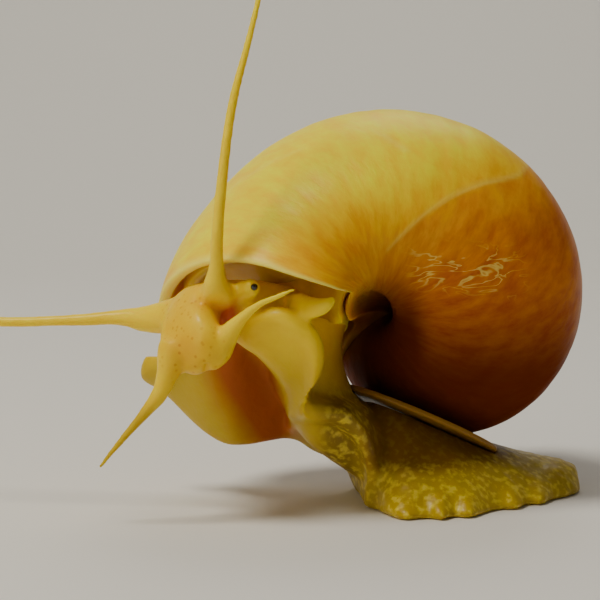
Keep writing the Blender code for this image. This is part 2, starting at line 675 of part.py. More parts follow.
def foot_part(name, first, last):
    """Length of the foot between two shares of its rows: sole below, back above, thick at the edges."""
    frame = foot_frame()
    share = np.arange(FOOT_ROWS)
    begin, end = first * (FOOT_ROWS - 1), last * (FOOT_ROWS - 1)
    spots = np.concatenate([[begin], share[(share > begin + 0.4) & (share < end - 0.4)], [end]])
    rows = np.stack([np.interp(spots, share, column) for column in frame.T], 1)
    a = np.linspace(0, 1, SOLE_COLUMNS)
    rings = []
    for row in rows:
        left, right, back = row[:3], row[3:6], unit(row[6:9])
        sag, height, edge, number, wave_left, wave_right = row[9:]
        hollow = sole_hollow(a, sag, number)[:, None]
        rise = (edge + height * np.sin(np.pi * a) ** BACK_ROUNDNESS + ridge(a, number))[:, None]
        across = left + (right - left) * a[:, None]
        across[:, 1] += wave_left * (1 - ease(a / MARGIN_SHARE))
        across[:, 1] += wave_right * (1 - ease((1 - a) / MARGIN_SHARE))
        sole = across + back * hollow
        top = across + back * (hollow * BACK_FOLLOW + rise)
        bulge = unit(right - left) * edge * EDGE_BULGE
        rim_right = across[-1] + bulge + back * edge / 2
        rim_left = across[0] - bulge + back * edge / 2
        rings.append(np.concatenate([sole, [rim_right], top[::-1], [rim_left]]))
    sides = len(rings[0])
    points = np.concatenate(rings + [[rings[0].mean(0)], [rings[-1].mean(0)]])
    total = len(rings) * sides
    return solid(name, points, ring_faces(len(rings), sides, total, total + 1))


def over_plate():
    """The room round and over the operculum, where no flesh lies: a plain box."""
    half = np.array((OPERCULUM_LENGTH / 2 + PLATE_ROOM, OPERCULUM_WIDTH / 2 + PLATE_ROOM))
    corners = [(*(half * (x, y)), z) for z in (-PLATE_ROOM, ROOM_OVER_PLATE)
               for x, y in ((-1, -1), (1, -1), (1, 1), (-1, 1))]
    points = np.array(OPERCULUM_CENTRE) + np.array(corners) @ np.array(plate_axes())
    faces = [(3, 2, 1, 0), (4, 5, 6, 7)] + [(k, (k + 1) % 4, (k + 1) % 4 + 4, k + 4) for k in range(4)]
    return solid("over_plate", points, faces)


tail = foot_part("tail", 0.0, TAIL_PART - FOOT_CUT)
place(tail, "foot_tail", FLESH, SKIN_ROUGHNESS, [over_plate()])
middle_foot = foot_part("middle", TAIL_PART + FOOT_CUT, FRONT_PART - FOOT_CUT)
place(middle_foot, "foot_middle", FLESH, SKIN_ROUGHNESS, [over_plate()])
place(foot_part("front", FRONT_PART + FOOT_CUT, 1.0), "foot_front", PALE, SKIN_ROUGHNESS)


# Feelers, which sit in sockets of the head and snout
def limb(name, rows, shares, count, sides, sunk):
    """A feeler in lengths between the shares, each parted from the next by a thin cut."""
    path = along(rows, 60)
    reach = length_of(path[:, :3])
    names = {1: [""], 3: ["_base", "_middle", "_tip"]}[len(shares) - 1]
    for n, (a, b) in enumerate(zip(shares[:-1], shares[1:])):
        low = a * reach[-1] + (GAP / 2 if n else sunk)
        high = b * reach[-1] - (GAP / 2 if n < len(shares) - 2 else 0)
        want = np.linspace(low, high, count)
        piece = np.stack([np.interp(want, reach, path[:, k]) for k in range(path.shape[1])], 1)
        final = 1.0 if n == len(shares) - 2 else 0.0
        length = tube(name, piece, count, sides, FEELER_ACROSS, 0.0, final)
        place(length, name + names[n], PALE, SKIN_ROUGHNESS)


limb("tentacle_left", TENTACLE_LEFT, FEELER_CUTS, 10, 12, LEFT_SUNK)
limb("tentacle_right", TENTACLE_RIGHT, FEELER_CUTS, 10, 12, RIGHT_SUNK)

# Body
place(tube("column", COLUMN, 14, 22, (1, 0, 0), 0.3, 0.6), "body_column", FLESH, SKIN_ROUGHNESS)
place(tube("head", HEAD, 14, 22, HEAD_ACROSS, 0.2, 0.9), "head", FLESH, SKIN_ROUGHNESS)
snout = tube("snout", SNOUT, 12, 22, HEAD_ACROSS, 0.3, 0.8)
snout_way = unit(np.array(SNOUT[-1][:3]) - np.array(SNOUT[-2][:3]))
face_way = np.cross(snout_way, unit(HEAD_ACROSS))
mouth = np.array(SNOUT[-1][:3]) + snout_way * MOUTH_AHEAD
half_slit = face_way * MOUTH_LENGTH / 2
slit = tube("slit", [(*(mouth - half_slit), MOUTH_WIDTH / 2, MOUTH_DEPTH),
                     (*(mouth + half_slit), MOUTH_WIDTH / 2, MOUTH_DEPTH)], 4, 10, HEAD_ACROSS, 0.0, 0.0)
place(snout, "snout", PALE, SKIN_ROUGHNESS, [slit])

# Limbs cut to the face they stand on
limb("palp_left", PALP_LEFT, (0, 1), 10, 10, PALP_SUNK)
limb("palp_right", PALP_RIGHT, (0, 1), 10, 10, PALP_SUNK)
for side, stalk, eye in (("left", np.array(EYE_STALK), np.array([(*EYE_CENTRE, 0)])),
                         ("right", reflect(EYE_STALK, HEAD_MIDDLE, HEAD_ACROSS),
                          reflect([(*EYE_CENTRE, 0)], HEAD_MIDDLE, HEAD_ACROSS))):
    place(ball("eye", eye[0, :3], EYE_RADIUS), "eye_" + side, DARK, EYE_ROUGHNESS)
    place(tube("stalk", stalk, 8, 14, (0, 0, 1), 0.3, 0.9), "eye_stalk_" + side, PALE, SKIN_ROUGHNESS)
siphon = np.array([(x, y, z, r, r * SIPHON_FLATTEN) for x, y, z, r in SIPHON])
place(tube("siphon", siphon, 12, 14, (0, 0, 1), 0.0, 0.9), "siphon", PALE, SKIN_ROUGHNESS)
right_lobe = reflect(siphon[:4], NECK_MIDDLE, HEAD_ACROSS)
place(tube("nuchal_lobe", right_lobe, 9, 14, (0, 0, 1), 0.0, 0.9), "nuchal_lobe_right", PALE, SKIN_ROUGHNESS)

for node in nodes:
    spot = np.array([v.co[:] for v in node.data.vertices]) * MM
    node.data.vertices.foreach_set("co", spot.ravel())
    node.data.update()
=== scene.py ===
"""Looks of the still golden apple snail: one skin of flesh, a spiral shell, operculum and eyes.

Sizes and places are in millimetres, X to the tail, Y to the far side, Z up, as in the part.
"""

import bpy
import numpy as np
from mathutils import Euler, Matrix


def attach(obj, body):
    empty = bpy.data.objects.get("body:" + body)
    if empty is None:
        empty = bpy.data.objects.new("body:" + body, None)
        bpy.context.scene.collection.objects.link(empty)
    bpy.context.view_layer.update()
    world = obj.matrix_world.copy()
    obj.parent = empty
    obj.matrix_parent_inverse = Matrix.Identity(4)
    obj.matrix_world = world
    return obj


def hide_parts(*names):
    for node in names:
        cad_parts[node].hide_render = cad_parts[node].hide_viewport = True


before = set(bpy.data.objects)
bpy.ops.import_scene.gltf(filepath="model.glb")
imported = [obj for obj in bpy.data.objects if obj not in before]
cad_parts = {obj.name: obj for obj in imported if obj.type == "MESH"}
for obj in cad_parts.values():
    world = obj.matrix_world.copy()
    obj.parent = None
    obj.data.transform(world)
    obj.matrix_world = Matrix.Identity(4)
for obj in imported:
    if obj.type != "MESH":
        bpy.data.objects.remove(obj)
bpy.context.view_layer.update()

MM = 0.001
TURN = 2 * np.pi

# Camera: the place and lens that match the photo's view of the shell.
CAMERA_PLACE = (-15.0, -235.27, 45.95)
CAMERA_DOWN = np.radians(6)
CAMERA_LENS = 135.02
CAMERA_SENSOR = 36
CAMERA_NEAR = 0.01

# Lamps: name, place, aim, size, power and colour; then the colour and strength of the air.
LAMPS = [
    ("key", (-260, -170, 520), (-10, 0, 18), 200, 2.6, (1.0, 0.96, 0.86)),
    ("fill", (-380, -420, 160), (-5, 0, 18), 420, 0.5, (1.0, 0.94, 0.8)),
    ("back", (60, 330, 420), (-5, 0, 24), 300, 0.5, (1.0, 0.96, 0.9)),
]
AIR_COLOUR = "#EDEBE6"
AIR_STRENGTH = 0.12
# Backdrop: front edge, start and radius of the bend, top edge and half width.
BACKDROP_FRONT = -900.0
BACKDROP_BEND = 260
BACKDROP_RADIUS = 200
BACKDROP_TOP = 900.0
BACKDROP_HALF = 1500

# How far light spreads under the surface of flesh and shell, in red, green and blue.
LIGHT_SPREAD = (1.0, 0.6, 0.1)
# Steps of the domes at the ends of limbs and of the round lip.
DOME_STEPS = np.radians((75, 60, 45, 30, 15))
LIP_STEPS = np.radians((30, 60, 90, 120, 150))

# Shell, as in the part: growth in one turn, apex, turn of its axes and the half section of a whorl.
WHORL_GROWTH = 2.113
GROWTH_RATE = np.log(WHORL_GROWTH) / TURN
SHELL_APEX = (4.766, 24.199, 18.537)
SHELL_TURN = (96.136, -38.858, 158.272)
SECTION_CENTRE = np.array([11.25, 29.4])
# Section rows: distance from the axis and down from the apex, for the outside and then the inside.
WALL = [
    (10.70, 14.41, 12.6, 15.9), (13.47, 14.04, 13.9, 15.5), (17.22, 15.53, 16.9, 16.7),
    (20.56, 18.93, 19.8, 19.7), (22.15, 24.54, 21.1, 24.8), (22.60, 30.45, 21.5, 30.2),
    (20.36, 36.28, 19.4, 35.6), (16.20, 41.11, 15.6, 40.1), (10.59, 43.79, 10.6, 42.6),
    (5.90, 43.70, 6.7, 42.7), (3.50, 42.40, 4.6, 41.8), (2.40, 40.30, 3.5, 40.1),
    (1.90, 37.60, 3.0, 37.8), (1.70, 34.70, 2.8, 34.9),
]
# Way back to the start of the wall, up the columella and along the earlier whorl.
RETURN = [
    (1.40, 31.0, 2.9, 31.5), (1.10, 26.0, 3.2, 27.5), (1.00, 21.0, 4.4, 23.6), (2.20, 17.6, 7.1, 21.7),
    (5.00, 16.9, 9.0, 20.2), (7.80, 15.9, 10.6, 18.6), (9.80, 14.8, 11.8, 16.8),
]
# Share of the columns on the wall; middle, shift and reach of the hollow at the umbilicus.
OUTER_SHARE = 0.62
UMBILICUS = (-3.7, -3.0, 21.0)
UMBILICUS_SHIFT = (-3.0, 0.0, 0.0)
UMBILICUS_ROOM = 9.0
# Lip: its lead over the section in radians, how that falls round the section, a small bend of it and
# the turn back at the inner lip, both as height, place and length, then its flare and its round edge.
LIP_REACH = 1.2566
LIP_LENGTH = 66.7
LIP_FALL = (1.29, 0.36, 0.11)
LIP_BEND = (0.05, 0.70, 0.06)
INNER_LIP = (1.5, 0.785, 0.10)
LIP_FLARE = 0.078
LIP_FLARE_ANGLE = np.radians(35)
LIP_ROUND = 0.45
# Grid of the shell: columns round the section, then rows of the spire, the last whorl and the inside.
SHELL_COLUMNS = 180
WALL_STEPS = 400
RETURN_STEPS = 200
SPIRE_START = -3.9 * TURN
WHORL_START = -1.3 * TURN
INSIDE_END = -1.25 * TURN / 2
SPIRE_ROWS = 130
WHORL_ROWS = 340
INSIDE_ROWS = 60
INSIDE_GROWTH = 0.3
SHELL_INSET = 0.10
# The flare of the lip blends in and out over this share of the section, and ends at this share of it.
FLARE_BLEND = 0.10
FLARE_END = 0.94
# Pale rim of the lip: its middle and width in radians of growth, and the columns over which it fades.
RIM_AGE = 0.01
RIM_WIDTH = 0.035
RIM_END = 0.53
RIM_FADE = 0.04
# Growth lines: height and spacing of the fine and the broad ridges, and their places in a radian.
FINE_LINES = (0.035, 1.3)
BROAD_LINES = (0.03, 4.1)
LINE_STEPS = 22

# Rest line of the growth over the near side, as X and Z, then the middle of the painted shade in the
# mouth of the umbilicus and the middle of the deeper tint behind the lip.
REST_LINE = np.array([
    (-8.6, 18.0), (-7.4, 25.0), (-6.6, 27.1), (-5.2, 28.7), (-3.7, 30.1), (-2.1, 31.4), (0.0, 32.7),
    (2.0, 33.5), (3.6, 34.0), (5.2, 34.2), (7.4, 34.6), (10.0, 36.5), (14.0, 42.0),
])
UMBILICUS_MOUTH = (-6.8, -6.0, 21.0)
LIP_BLUSH = (-10.6, -13.6, 28.0)
# A pale crack mark on the shell, then a painted highlight along a growth ridge near the lip, as places
# along each.
MARK_AND_RIDGE_HIGHLIGHT = [
    [(-7.6, -5.6, 39.0), (-6.75, -6.4, 38.7), (-5.6, -7.4, 37.9), (-4.3, -8.3, 37.3)],
    [(-22.6, -5.0, 32.6), (-21.6, -4.9, 33.6), (-18.4, -5.5, 35.6), (-14.9, -6.1, 37.1)],
]

# Operculum, as in the part.
OPERCULUM_CENTRE = (-2.4, 0.3, 8.3)
OPERCULUM_LENGTH = 17.6
OPERCULUM_WIDTH = 11.8
OPERCULUM_THICK = 0.6
OPERCULUM_ALONG = (0.92, 0.0, -0.39)
OPERCULUM_ACROSS = (0.0, 0.968, -0.25)
OPERCULUM_TAPER = 0.10
# Its rings: height and turns of the broad and the fine waves, and their share on the underside.
BROAD_RINGS = (0.05, 70)
FINE_RINGS = (0.03, 173)
UNDER_SHARE = 0.4
# First and last radius of its flat rows, height of its top as a share, and height of its underside.
PLATE_FIRST = 0.03
PLATE_EDGE = 0.985
PLATE_TOP = 0.94
PLATE_UNDER = 0.05

# Foot, as in the part: left edge, right edge, hollow of the sole, height of the back, edge thickness.
FOOT = [
    ((15.3, 4.6, 0.0), (14.9, 8.0, 0.0), 0.0, 1.6, 1.0),
    ((13.6, 0.8, 0.0), (13.0, 10.1, 0.0), 0.0, 2.3, 1.0),
    ((10.9, -2.2, 0.0), (9.6, 12.1, 0.0), 0.0, 2.9, 1.0),
    ((6.0, -6.4, 0.0), (4.0, 12.4, 0.0), 0.0, 4.2, 1.0),
    ((0.4, -10.6, 0.0), (-2.4, 10.6, 0.0), 0.0, 5.0, 1.0),
    ((-5.0, -10.4, 0.0), (-6.6, 8.4, 0.0), 0.0, 4.8, 1.1),
    ((-8.1, -5.4, 0.0), (-8.9, 6.4, 0.0), 0.0, 4.0, 1.3),
    ((-8.2, -6.8, 4.6), (-10.3, 5.6, 2.4), 0.4, 3.0, 1.5),
    ((-10.6, -9.7, 9.5), (-13.5, 4.3, 4.3), 1.0, 2.6, 1.7),
    ((-15.0, -12.1, 11.3), (-16.7, 2.5, 6.0), 1.8, 2.4, 1.9),
    ((-13.9, -13.2, 13.7), (-19.0, 1.0, 5.9), 3.6, 2.2, 2.1),
    ((-13.9, -14.3, 17.5), (-21.0, 0.2, 5.8), 5.0, 2.0, 2.2),
    ((-17.0, -14.7, 20.3), (-23.0, -0.1, 6.1), 5.4, 1.8, 2.2),
    ((-20.4, -13.2, 20.0), (-25.4, 0.5, 7.4), 4.8, 1.6, 2.0),
    ((-22.6, -9.4, 18.0), (-29.6, 1.9, 11.2), 3.0, 1.4, 2.0),
    ((-23.7, -7.3, 17.0), (-31.9, 1.5, 13.4), 1.6, 1.1, 2.1),
    ((-24.1, -6.3, 16.6), (-31.3, 1.2, 15.3), 1.0, 1.0, 2.2),
]
# Edges lower than this lie on the floor.
FLOOR_LEVEL = 0.25
# Lifted sole: two rolls with a valley between, over the rows from HOLLOW_FIRST to HOLLOW_LAST.
NEAR_ROLL = 1.8
FAR_ROLL = 0.7
VALLEY_DEPTH = 2.8
VALLEY_WIDTH = 0.20
VALLEY_ROW = 10
VALLEY_PLACE = 0.8
VALLEY_SLANT = 0.05
VALLEY_BEND = 0.035
HOLLOW_FIRST = 8.6
HOLLOW_LAST = 15.0
HOLLOW_RAMP = 1.6
EDGE_SHARE = 0.12
SAG_SHARE = 0.35
BACK_FOLLOW = 0.4
BACK_ROUNDNESS = 0.85
BACK_ROUNDS = 8
# Wave of the margin on the floor: height, turns along X and their uneven drift, and its reach inwards.
MARGIN_WAVE = 0.7
WAVE_TURN = 1.6
WAVE_UNEVEN = 1.1
WAVE_DRIFT = 0.7
MARGIN_SHARE = 0.12
# Ridge under the operculum: height, row, length in rows and width as a share of the foot's width.
RIDGE_HEIGHT = 5.0
RIDGE_ROW = 5.6
RIDGE_LENGTH = 1.7
RIDGE_WIDTH = 0.24
# Pleat where the near edge leaves the floor.
PLEAT_ROW = 9.25
PLEAT_DEPTH = 1.6
PLEAT_WIDTH = 0.30
PLEAT_START = 0.05
PLEAT_FADE = 0.2

# Column of the body from the mantle down to the foot: centre and both half sizes.
COLUMN = [
    (-14.1, 0.6, 25.6, 4.8, 5.6), (-14.2, -0.6, 21.5, 4.8, 6.0), (-14.6, -1.6, 17.4, 4.1, 6.3),
    (-14.1, -1.8, 13.6, 3.8, 6.6), (-12.8, -1.6, 10.6, 3.6, 6.4), (-10.5, -0.8, 7.8, 3.2, 5.8),
    (-7.4, 0.0, 4.8, 2.6, 4.8),
]
# Neck and head, then the snout: direction across, middle, and rows of centre and both half sizes.
HEAD_ACROSS = (-0.617, 0.708, -0.345)
HEAD_MIDDLE = (-26.2, -11.2, 21.7)
HEAD = [
    (-14.6, -2.2, 17.8, 3.8, 3.6), (-16.2, -4.4, 19.0, 4.2, 3.7), (-19.0, -7.2, 20.5, 4.2, 3.3),
    (-22.3, -9.6, 21.3, 4.0, 2.9), (-25.5, -11.0, 21.4, 3.5, 2.5),
]
SNOUT = [
    (-25.2, -10.4, 21.8, 3.3, 2.4), (-26.0, -12.1, 20.2, 3.4, 2.4), (-25.8, -13.9, 18.9, 4.0, 2.2),
    (-25.2, -15.0, 17.9, 3.4, 1.8), (-24.7, -15.7, 16.8, 2.3, 1.3),
]
# Long feelers and mouth feelers from root to tip: centre and radius.
TENTACLE_LEFT = [
    (-23.8, -11.6, 22.4, 1.90), (-23.2, -13.6, 23.2, 1.85), (-23.3, -14.7, 24.4, 1.25),
    (-23.2, -15.3, 25.8, 0.85), (-23.1, -16.2, 28.9, 0.66), (-22.6, -16.3, 34.5, 0.58),
    (-21.4, -15.5, 42.8, 0.48), (-20.2, -14.6, 47.4, 0.40), (-17.9, -12.3, 56.8, 0.30),
    (-16.5, -10.6, 61.5, 0.24),
]
TENTACLE_RIGHT = [
    (-26.8, -10.2, 20.9, 1.90), (-29.0, -8.6, 20.3, 1.70), (-30.9, -7.9, 20.1, 1.35),
    (-32.5, -7.5, 20.2, 0.98), (-37.5, -6.9, 19.9, 0.64), (-45.8, -5.9, 19.6, 0.55),
    (-52.1, -4.9, 19.8, 0.46), (-59.6, -3.4, 20.0, 0.38), (-67.3, -1.3, 20.0, 0.30),
    (-73.0, 0.8, 19.6, 0.24),
]
PALP_LEFT = [
    (-24.4, -15.1, 17.3, 1.90), (-23.3, -15.4, 18.0, 1.80), (-22.4, -15.8, 19.1, 1.35),
    (-21.2, -16.6, 20.6, 0.80), (-18.7, -17.9, 22.8, 0.38), (-16.9, -18.4, 23.6, 0.30),
    (-15.6, -18.5, 24.2, 0.22),
]
PALP_RIGHT = [
    (-27.1, -14.1, 18.4, 1.90), (-27.6, -14.3, 17.0, 1.70), (-28.1, -14.5, 15.4, 1.20),
    (-28.9, -14.6, 13.4, 0.90), (-30.2, -14.6, 11.7, 0.62), (-31.8, -14.5, 9.8, 0.45),
    (-33.4, -14.3, 7.9, 0.33), (-34.9, -14.1, 6.0, 0.22),
]
# Left eye stalk and siphon: centre and radius; the right stalk and lobe are mirrored from them.
EYE_STALK = [(-21.0, -11.6, 22.8, 1.30), (-20.3, -13.0, 23.6, 1.15), (-19.8, -14.1, 23.9, 1.00)]
SIPHON = [
    (-16.4, -6.6, 20.6, 1.2), (-15.6, -10.4, 21.9, 1.15), (-14.8, -13.2, 22.1, 1.25),
    (-13.6, -14.9, 22.0, 1.15), (-12.4, -15.7, 22.4, 0.85), (-11.7, -15.9, 23.0, 0.5),
]
SIPHON_FLATTEN = 0.72
NECK_MIDDLE = (-15.5, -4.2, 19.0)
FEELER_ACROSS = (0.3, 1, 0.2)
UP = (0, 0, 1)
# Limbs of the skin: name, path, steps, sides, direction across, and the domes at its start and end.
LIMBS = [
    ("column", COLUMN, 40, 48, (1, 0, 0), 0.3, 0.6),
    ("neck", HEAD, 40, 48, HEAD_ACROSS, 0.2, 0.9),
    ("snout", SNOUT, 30, 48, HEAD_ACROSS, 0.3, 0.8),
    ("feeler_a", TENTACLE_LEFT, 120, 24, FEELER_ACROSS, 0.0, 1.0),
    ("feeler_b", TENTACLE_RIGHT, 120, 24, FEELER_ACROSS, 0.0, 1.0),
    ("palp_a", PALP_LEFT, 60, 24, FEELER_ACROSS, 0.0, 1.0),
    ("palp_b", PALP_RIGHT, 60, 24, FEELER_ACROSS, 0.0, 1.0),
    ("stalk_a", EYE_STALK, 20, 32, UP, 0.3, 0.9),
]

# Mantle: share of the inside's size and angle behind the lip, from the plug's face over its roll.
MANTLE_ROLL = [
    (0.30, -0.20), (0.60, -0.20), (0.78, -0.17), (0.83, -0.11), (0.87, -0.065), (0.93, -0.04),
    (0.975, -0.04), (0.985, -0.08), (0.985, -0.60), (0.985, -1.20),
]
MANTLE_ROWS = 70

# Skin: grid of the fused flesh, rounds of both smoothings, and how near the thin feelers the second
# one is left out.
VOXEL = 0.22
RELAX_ROUNDS = 6
SOFT_ROUNDS = 14
THIN_REACH = 3.0
# The flesh ends this far below the operculum, where it stands up to this much over it.
PLATE_CLEAR = 0.15
PLATE_DEPTH = 3.0
# Dent in the cheek below the left feeler: middle, push and reach.
CHEEK_PIT = (-23.1, -15.2, 21.5)
PIT_PUSH = (0.2, 1.4, -0.2)
PIT_REACH = 2.2
# Slit of the mouth: places along it, reach and depth.
MOUTH_SLIT = [(-24.1, -16.9, 16.4), (-24.2, -16.0, 15.4)]
MOUTH_REACH = 0.5
MOUTH_DEPTH = 0.5
# Warts of the flank in two sizes and fine grain everywhere: height and spacing.
BIG_WARTS = (0.10, 1.1)
SMALL_WARTS = (0.05, 0.6)
FINE_GRAIN = (0.012, 0.7)
SKIN_INSET = 0.02
# Places that tint the skin, as lines through points with the reach of each: the face in its own warm tint,
# painted shade on the neck, in the cheek pit and in the valley of the lifted sole, and the mouth feelers.
FACE_TINT = ([(-25.0, -11.5, 21.0), (-25.3, -14.5, 18.0)], 5.5)
NECK_SHADE = ([(-14.0, -1.0, 25.0), (-14.2, -2.0, 14.0)], 8.5)
PIT_SHADE = ([(-23.6, -13.8, 21.3), (-22.2, -13.6, 21.2)], 2.6)
VALLEY_SHADE = ([(-22.6, -5.6, 16.8), (-21.6, -3.8, 13.7), (-19.6, -1.8, 10.3), (-17.9, 0.5, 7.2)], 5.5)
PALP_TINT = ([(-28.5, -14.5, 14.5), (-27.0, -14.0, 18.0), (-24.5, -15.5, 17.0), (-21.5, -16.5, 20.0)], 5.0)

# Flesh nodes that the one skin stands for.
FLESH_NODES = ["foot_tail", "foot_middle", "foot_front", "body_column", "head", "snout", "eye_stalk_left",
               "eye_stalk_right", "palp_left", "palp_right", "siphon", "nuchal_lobe_right"]
FLESH_NODES += [f"tentacle_{side}_{part}" for side in ("left", "right")
                for part in ("base", "middle", "tip")]


def unit(v):
    """Vectors divided by their own lengths."""
    v = np.asarray(v, float)
    return v / np.linalg.norm(v, axis=-1, keepdims=True)


def ease(u):
    """Smooth step from 0 to 1: 3u2 - 2u3."""
    u = np.clip(u, 0, 1)
    return u * u * (3 - 2 * u)


def bell(u):
    """Bell curve: exp(-u2), which is 1 at 0."""
    return np.exp(-u ** 2)


def rise(value, start, width):
    """0 up to the start and 1 from start plus width on."""
    return ease((value - start) / width)


def fall(value, end, width):
    """1 up to end minus width and 0 from the end on."""
    return ease((end - value) / width)


def along(rows, count, by=3):
    """Cubic through the rows, taken at count places evenly by length of the first columns."""
    rows = np.asarray(rows, float)
    steps = np.linalg.norm(np.diff(rows[:, :by], axis=0), axis=1)
    t = np.concatenate([[0.0], np.cumsum(steps)])
    slope = np.gradient(rows, t, axis=0)
    s = np.linspace(0.0, t[-1], count)
    i = np.clip(np.searchsorted(t, s, side="right") - 1, 0, len(t) - 2)
    width = (t[i + 1] - t[i])[:, None]
    u = ((s - t[i])[:, None]) / width
    a = (1 + 2 * u) * (1 - u) ** 2
    b = u * (1 - u) ** 2 * width
    c = u * u * (3 - 2 * u)
    d = u * u * (u - 1) * width
    return a * rows[i] + b * slope[i] + c * rows[i + 1] + d * slope[i + 1]


def grain(points, size, seed):
    """Smooth noise from -1 to 1: random values on a lattice of that size, blended between its corners."""
    q = np.asarray(points, float) / size
    low = np.floor(q).astype(np.int64)
    f = ease(q - low)
    total = 0.0
    for corner in range(8):
        step = np.array([corner & 1, corner >> 1 & 1, corner >> 2 & 1])
        spot = low + step
        mix = spot[:, 0] * 374761393 + spot[:, 1] * 668265263 + spot[:, 2] * 2147483647 + seed * 974711
        mix = (mix ^ (mix >> 13)) * 1274126177
        value = ((mix ^ (mix >> 16)) & 0xFFFF) / 32767.5 - 1
        total = total + value * np.prod(np.where(step, f, 1 - f), axis=1)
    return total


def point_rows(mesh, field):
    """Places or normals of a mesh's points, one row for each."""
    rows = np.empty(len(mesh.vertices) * 3)
    mesh.vertices.foreach_get(field, rows)
    return rows.reshape(-1, 3)


def mark(mesh, label, value):
    """Stores one number for each point under a label that the materials read."""
    mesh.attributes.new(label, "FLOAT", "POINT").data.foreach_set("value", value)


def surface(name, rings, first_tip=None, last_tip=None, uv=None):
    """A mesh from rings of points in millimetres, closed round each, with a tip point at either end."""
    rows, sides = rings.shape[:2]
    a = (np.arange(rows - 1)[:, None] * sides + np.arange(sides)).ravel()
    b = (np.arange(rows - 1)[:, None] * sides + (np.arange(sides) + 1) % sides).ravel()
    quads = np.stack([a, b, b + sides, a + sides], 1)
    points = [rings.reshape(-1, 3)]
    faces = [tuple(q) for q in quads.tolist()]
    total = rows * sides
    k = np.arange(sides)
    n = (k + 1) % sides
    if first_tip is not None:
        points.append(np.asarray(first_tip, float)[None])
        faces += np.stack([n, k, np.full(sides, total)], 1).tolist()
        total += 1
    if last_tip is not None:
        points.append(np.asarray(last_tip, float)[None])
        last = (rows - 1) * sides
        faces += np.stack([last + k, last + n, np.full(sides, total)], 1).tolist()
    mesh = bpy.data.meshes.new(name)
    mesh.from_pydata((np.concatenate(points) * MM).tolist(), [], faces)
    mesh.update()
    if uv is not None:
        spread = np.concatenate([uv.reshape(-1, 2), np.zeros((len(mesh.vertices) - rows * sides, 2))])
        for axis, label in enumerate(("growth", "round")):
            mark(mesh, label, spread[:, axis].copy())
    mesh.polygons.foreach_set("use_smooth", np.ones(len(mesh.polygons), bool))
    thing = bpy.data.objects.new(name, mesh)
    bpy.context.scene.collection.objects.link(thing)
    return thing


def outward(thing):
    """Turns all faces of a closed mesh outwards, by the sign of its volume."""
    mesh = thing.data
    mesh.calc_loop_triangles()
    spot = point_rows(mesh, "co")
    tri = np.empty(len(mesh.loop_triangles) * 3, np.int32)
    mesh.loop_triangles.foreach_get("vertices", tri)
    tri = tri.reshape(-1, 3)
    volume = np.einsum("ij,ij->i", spot[tri[:, 0]], np.cross(spot[tri[:, 1]], spot[tri[:, 2]])).sum()
    if volume < 0:
        mesh.flip_normals()
    return thing


def tube(name, rows, count, sides, across, start_dome, end_dome):
    """A limb along the rows: an ellipse carried along a cubic path, with domed ends."""
    path = along(rows, count)
    centre, half_a = path[:, :3], path[:, 3]
    half_b = path[:, 4] if path.shape[1] > 4 else half_a
    tangent = unit(np.gradient(centre, axis=0))
    across = unit(across)
    side = unit(across - (tangent @ across)[:, None] * tangent)
    other = np.cross(tangent, side)
    reach = min(half_a[0], half_b[0]) * start_dome
    finish = min(half_a[-1], half_b[-1]) * end_dome
    start = centre[0] - np.sin(DOME_STEPS)[:, None] * reach * tangent[0]
    close = centre[-1] + np.sin(DOME_STEPS[::-1])[:, None] * finish * tangent[-1]
    centres = np.concatenate([start, centre, close])
    scale = np.concatenate([np.cos(DOME_STEPS), np.ones(count), np.cos(DOME_STEPS[::-1])])
    ends = len(DOME_STEPS)
    pick = np.concatenate([np.zeros(ends, int), np.arange(count), np.full(ends, count - 1)])
    angle = np.linspace(0, TURN, sides, endpoint=False)[:, None]
    rings = (centres[:, None] + (half_a[pick] * scale)[:, None, None] * np.cos(angle) * side[pick][:, None]
             + (half_b[pick] * scale)[:, None, None] * np.sin(angle) * other[pick][:, None])
    return outward(surface(name, rings, centre[0] - reach * tangent[0], centre[-1] + finish * tangent[-1]))


def reflect(rows, middle, across):
    """Mirrors path rows in the plane through the middle, square to the across direction."""
    rows = np.array(rows, float)
    across = unit(across)
    shift = (rows[:, :3] - np.array(middle)) @ across
    rows[:, :3] -= 2 * shift[:, None] * across
    return rows


# Materials
def paint(code):
    """Linear colour from an sRGB hex code."""
    part = np.array([int(code[i:i + 2], 16) for i in (1, 3, 5)]) / 255
    line = np.where(part <= 0.04045, part / 12.92, ((part + 0.055) / 1.055) ** 2.4)
    return (*line.tolist(), 1.0)


def add_node(tree, kind, links=(), **settings):
    """Adds a node, sets its options, and sets or links its sockets by name or number."""
    made = tree.nodes.new(kind)
    for key, value in settings.items():
        setattr(made, key, value)
    for key, value in dict(links).items():
        socket = made.inputs[key]
        if isinstance(value, bpy.types.NodeSocket):
            tree.links.new(value, socket)
        else:
            socket.default_value = value
    return made


def blank(name):
    """A new material, its node tree and the shader in it."""
    made = bpy.data.materials.new(name)
    made.use_nodes = True
    return made, made.node_tree, made.node_tree.nodes["Principled BSDF"]


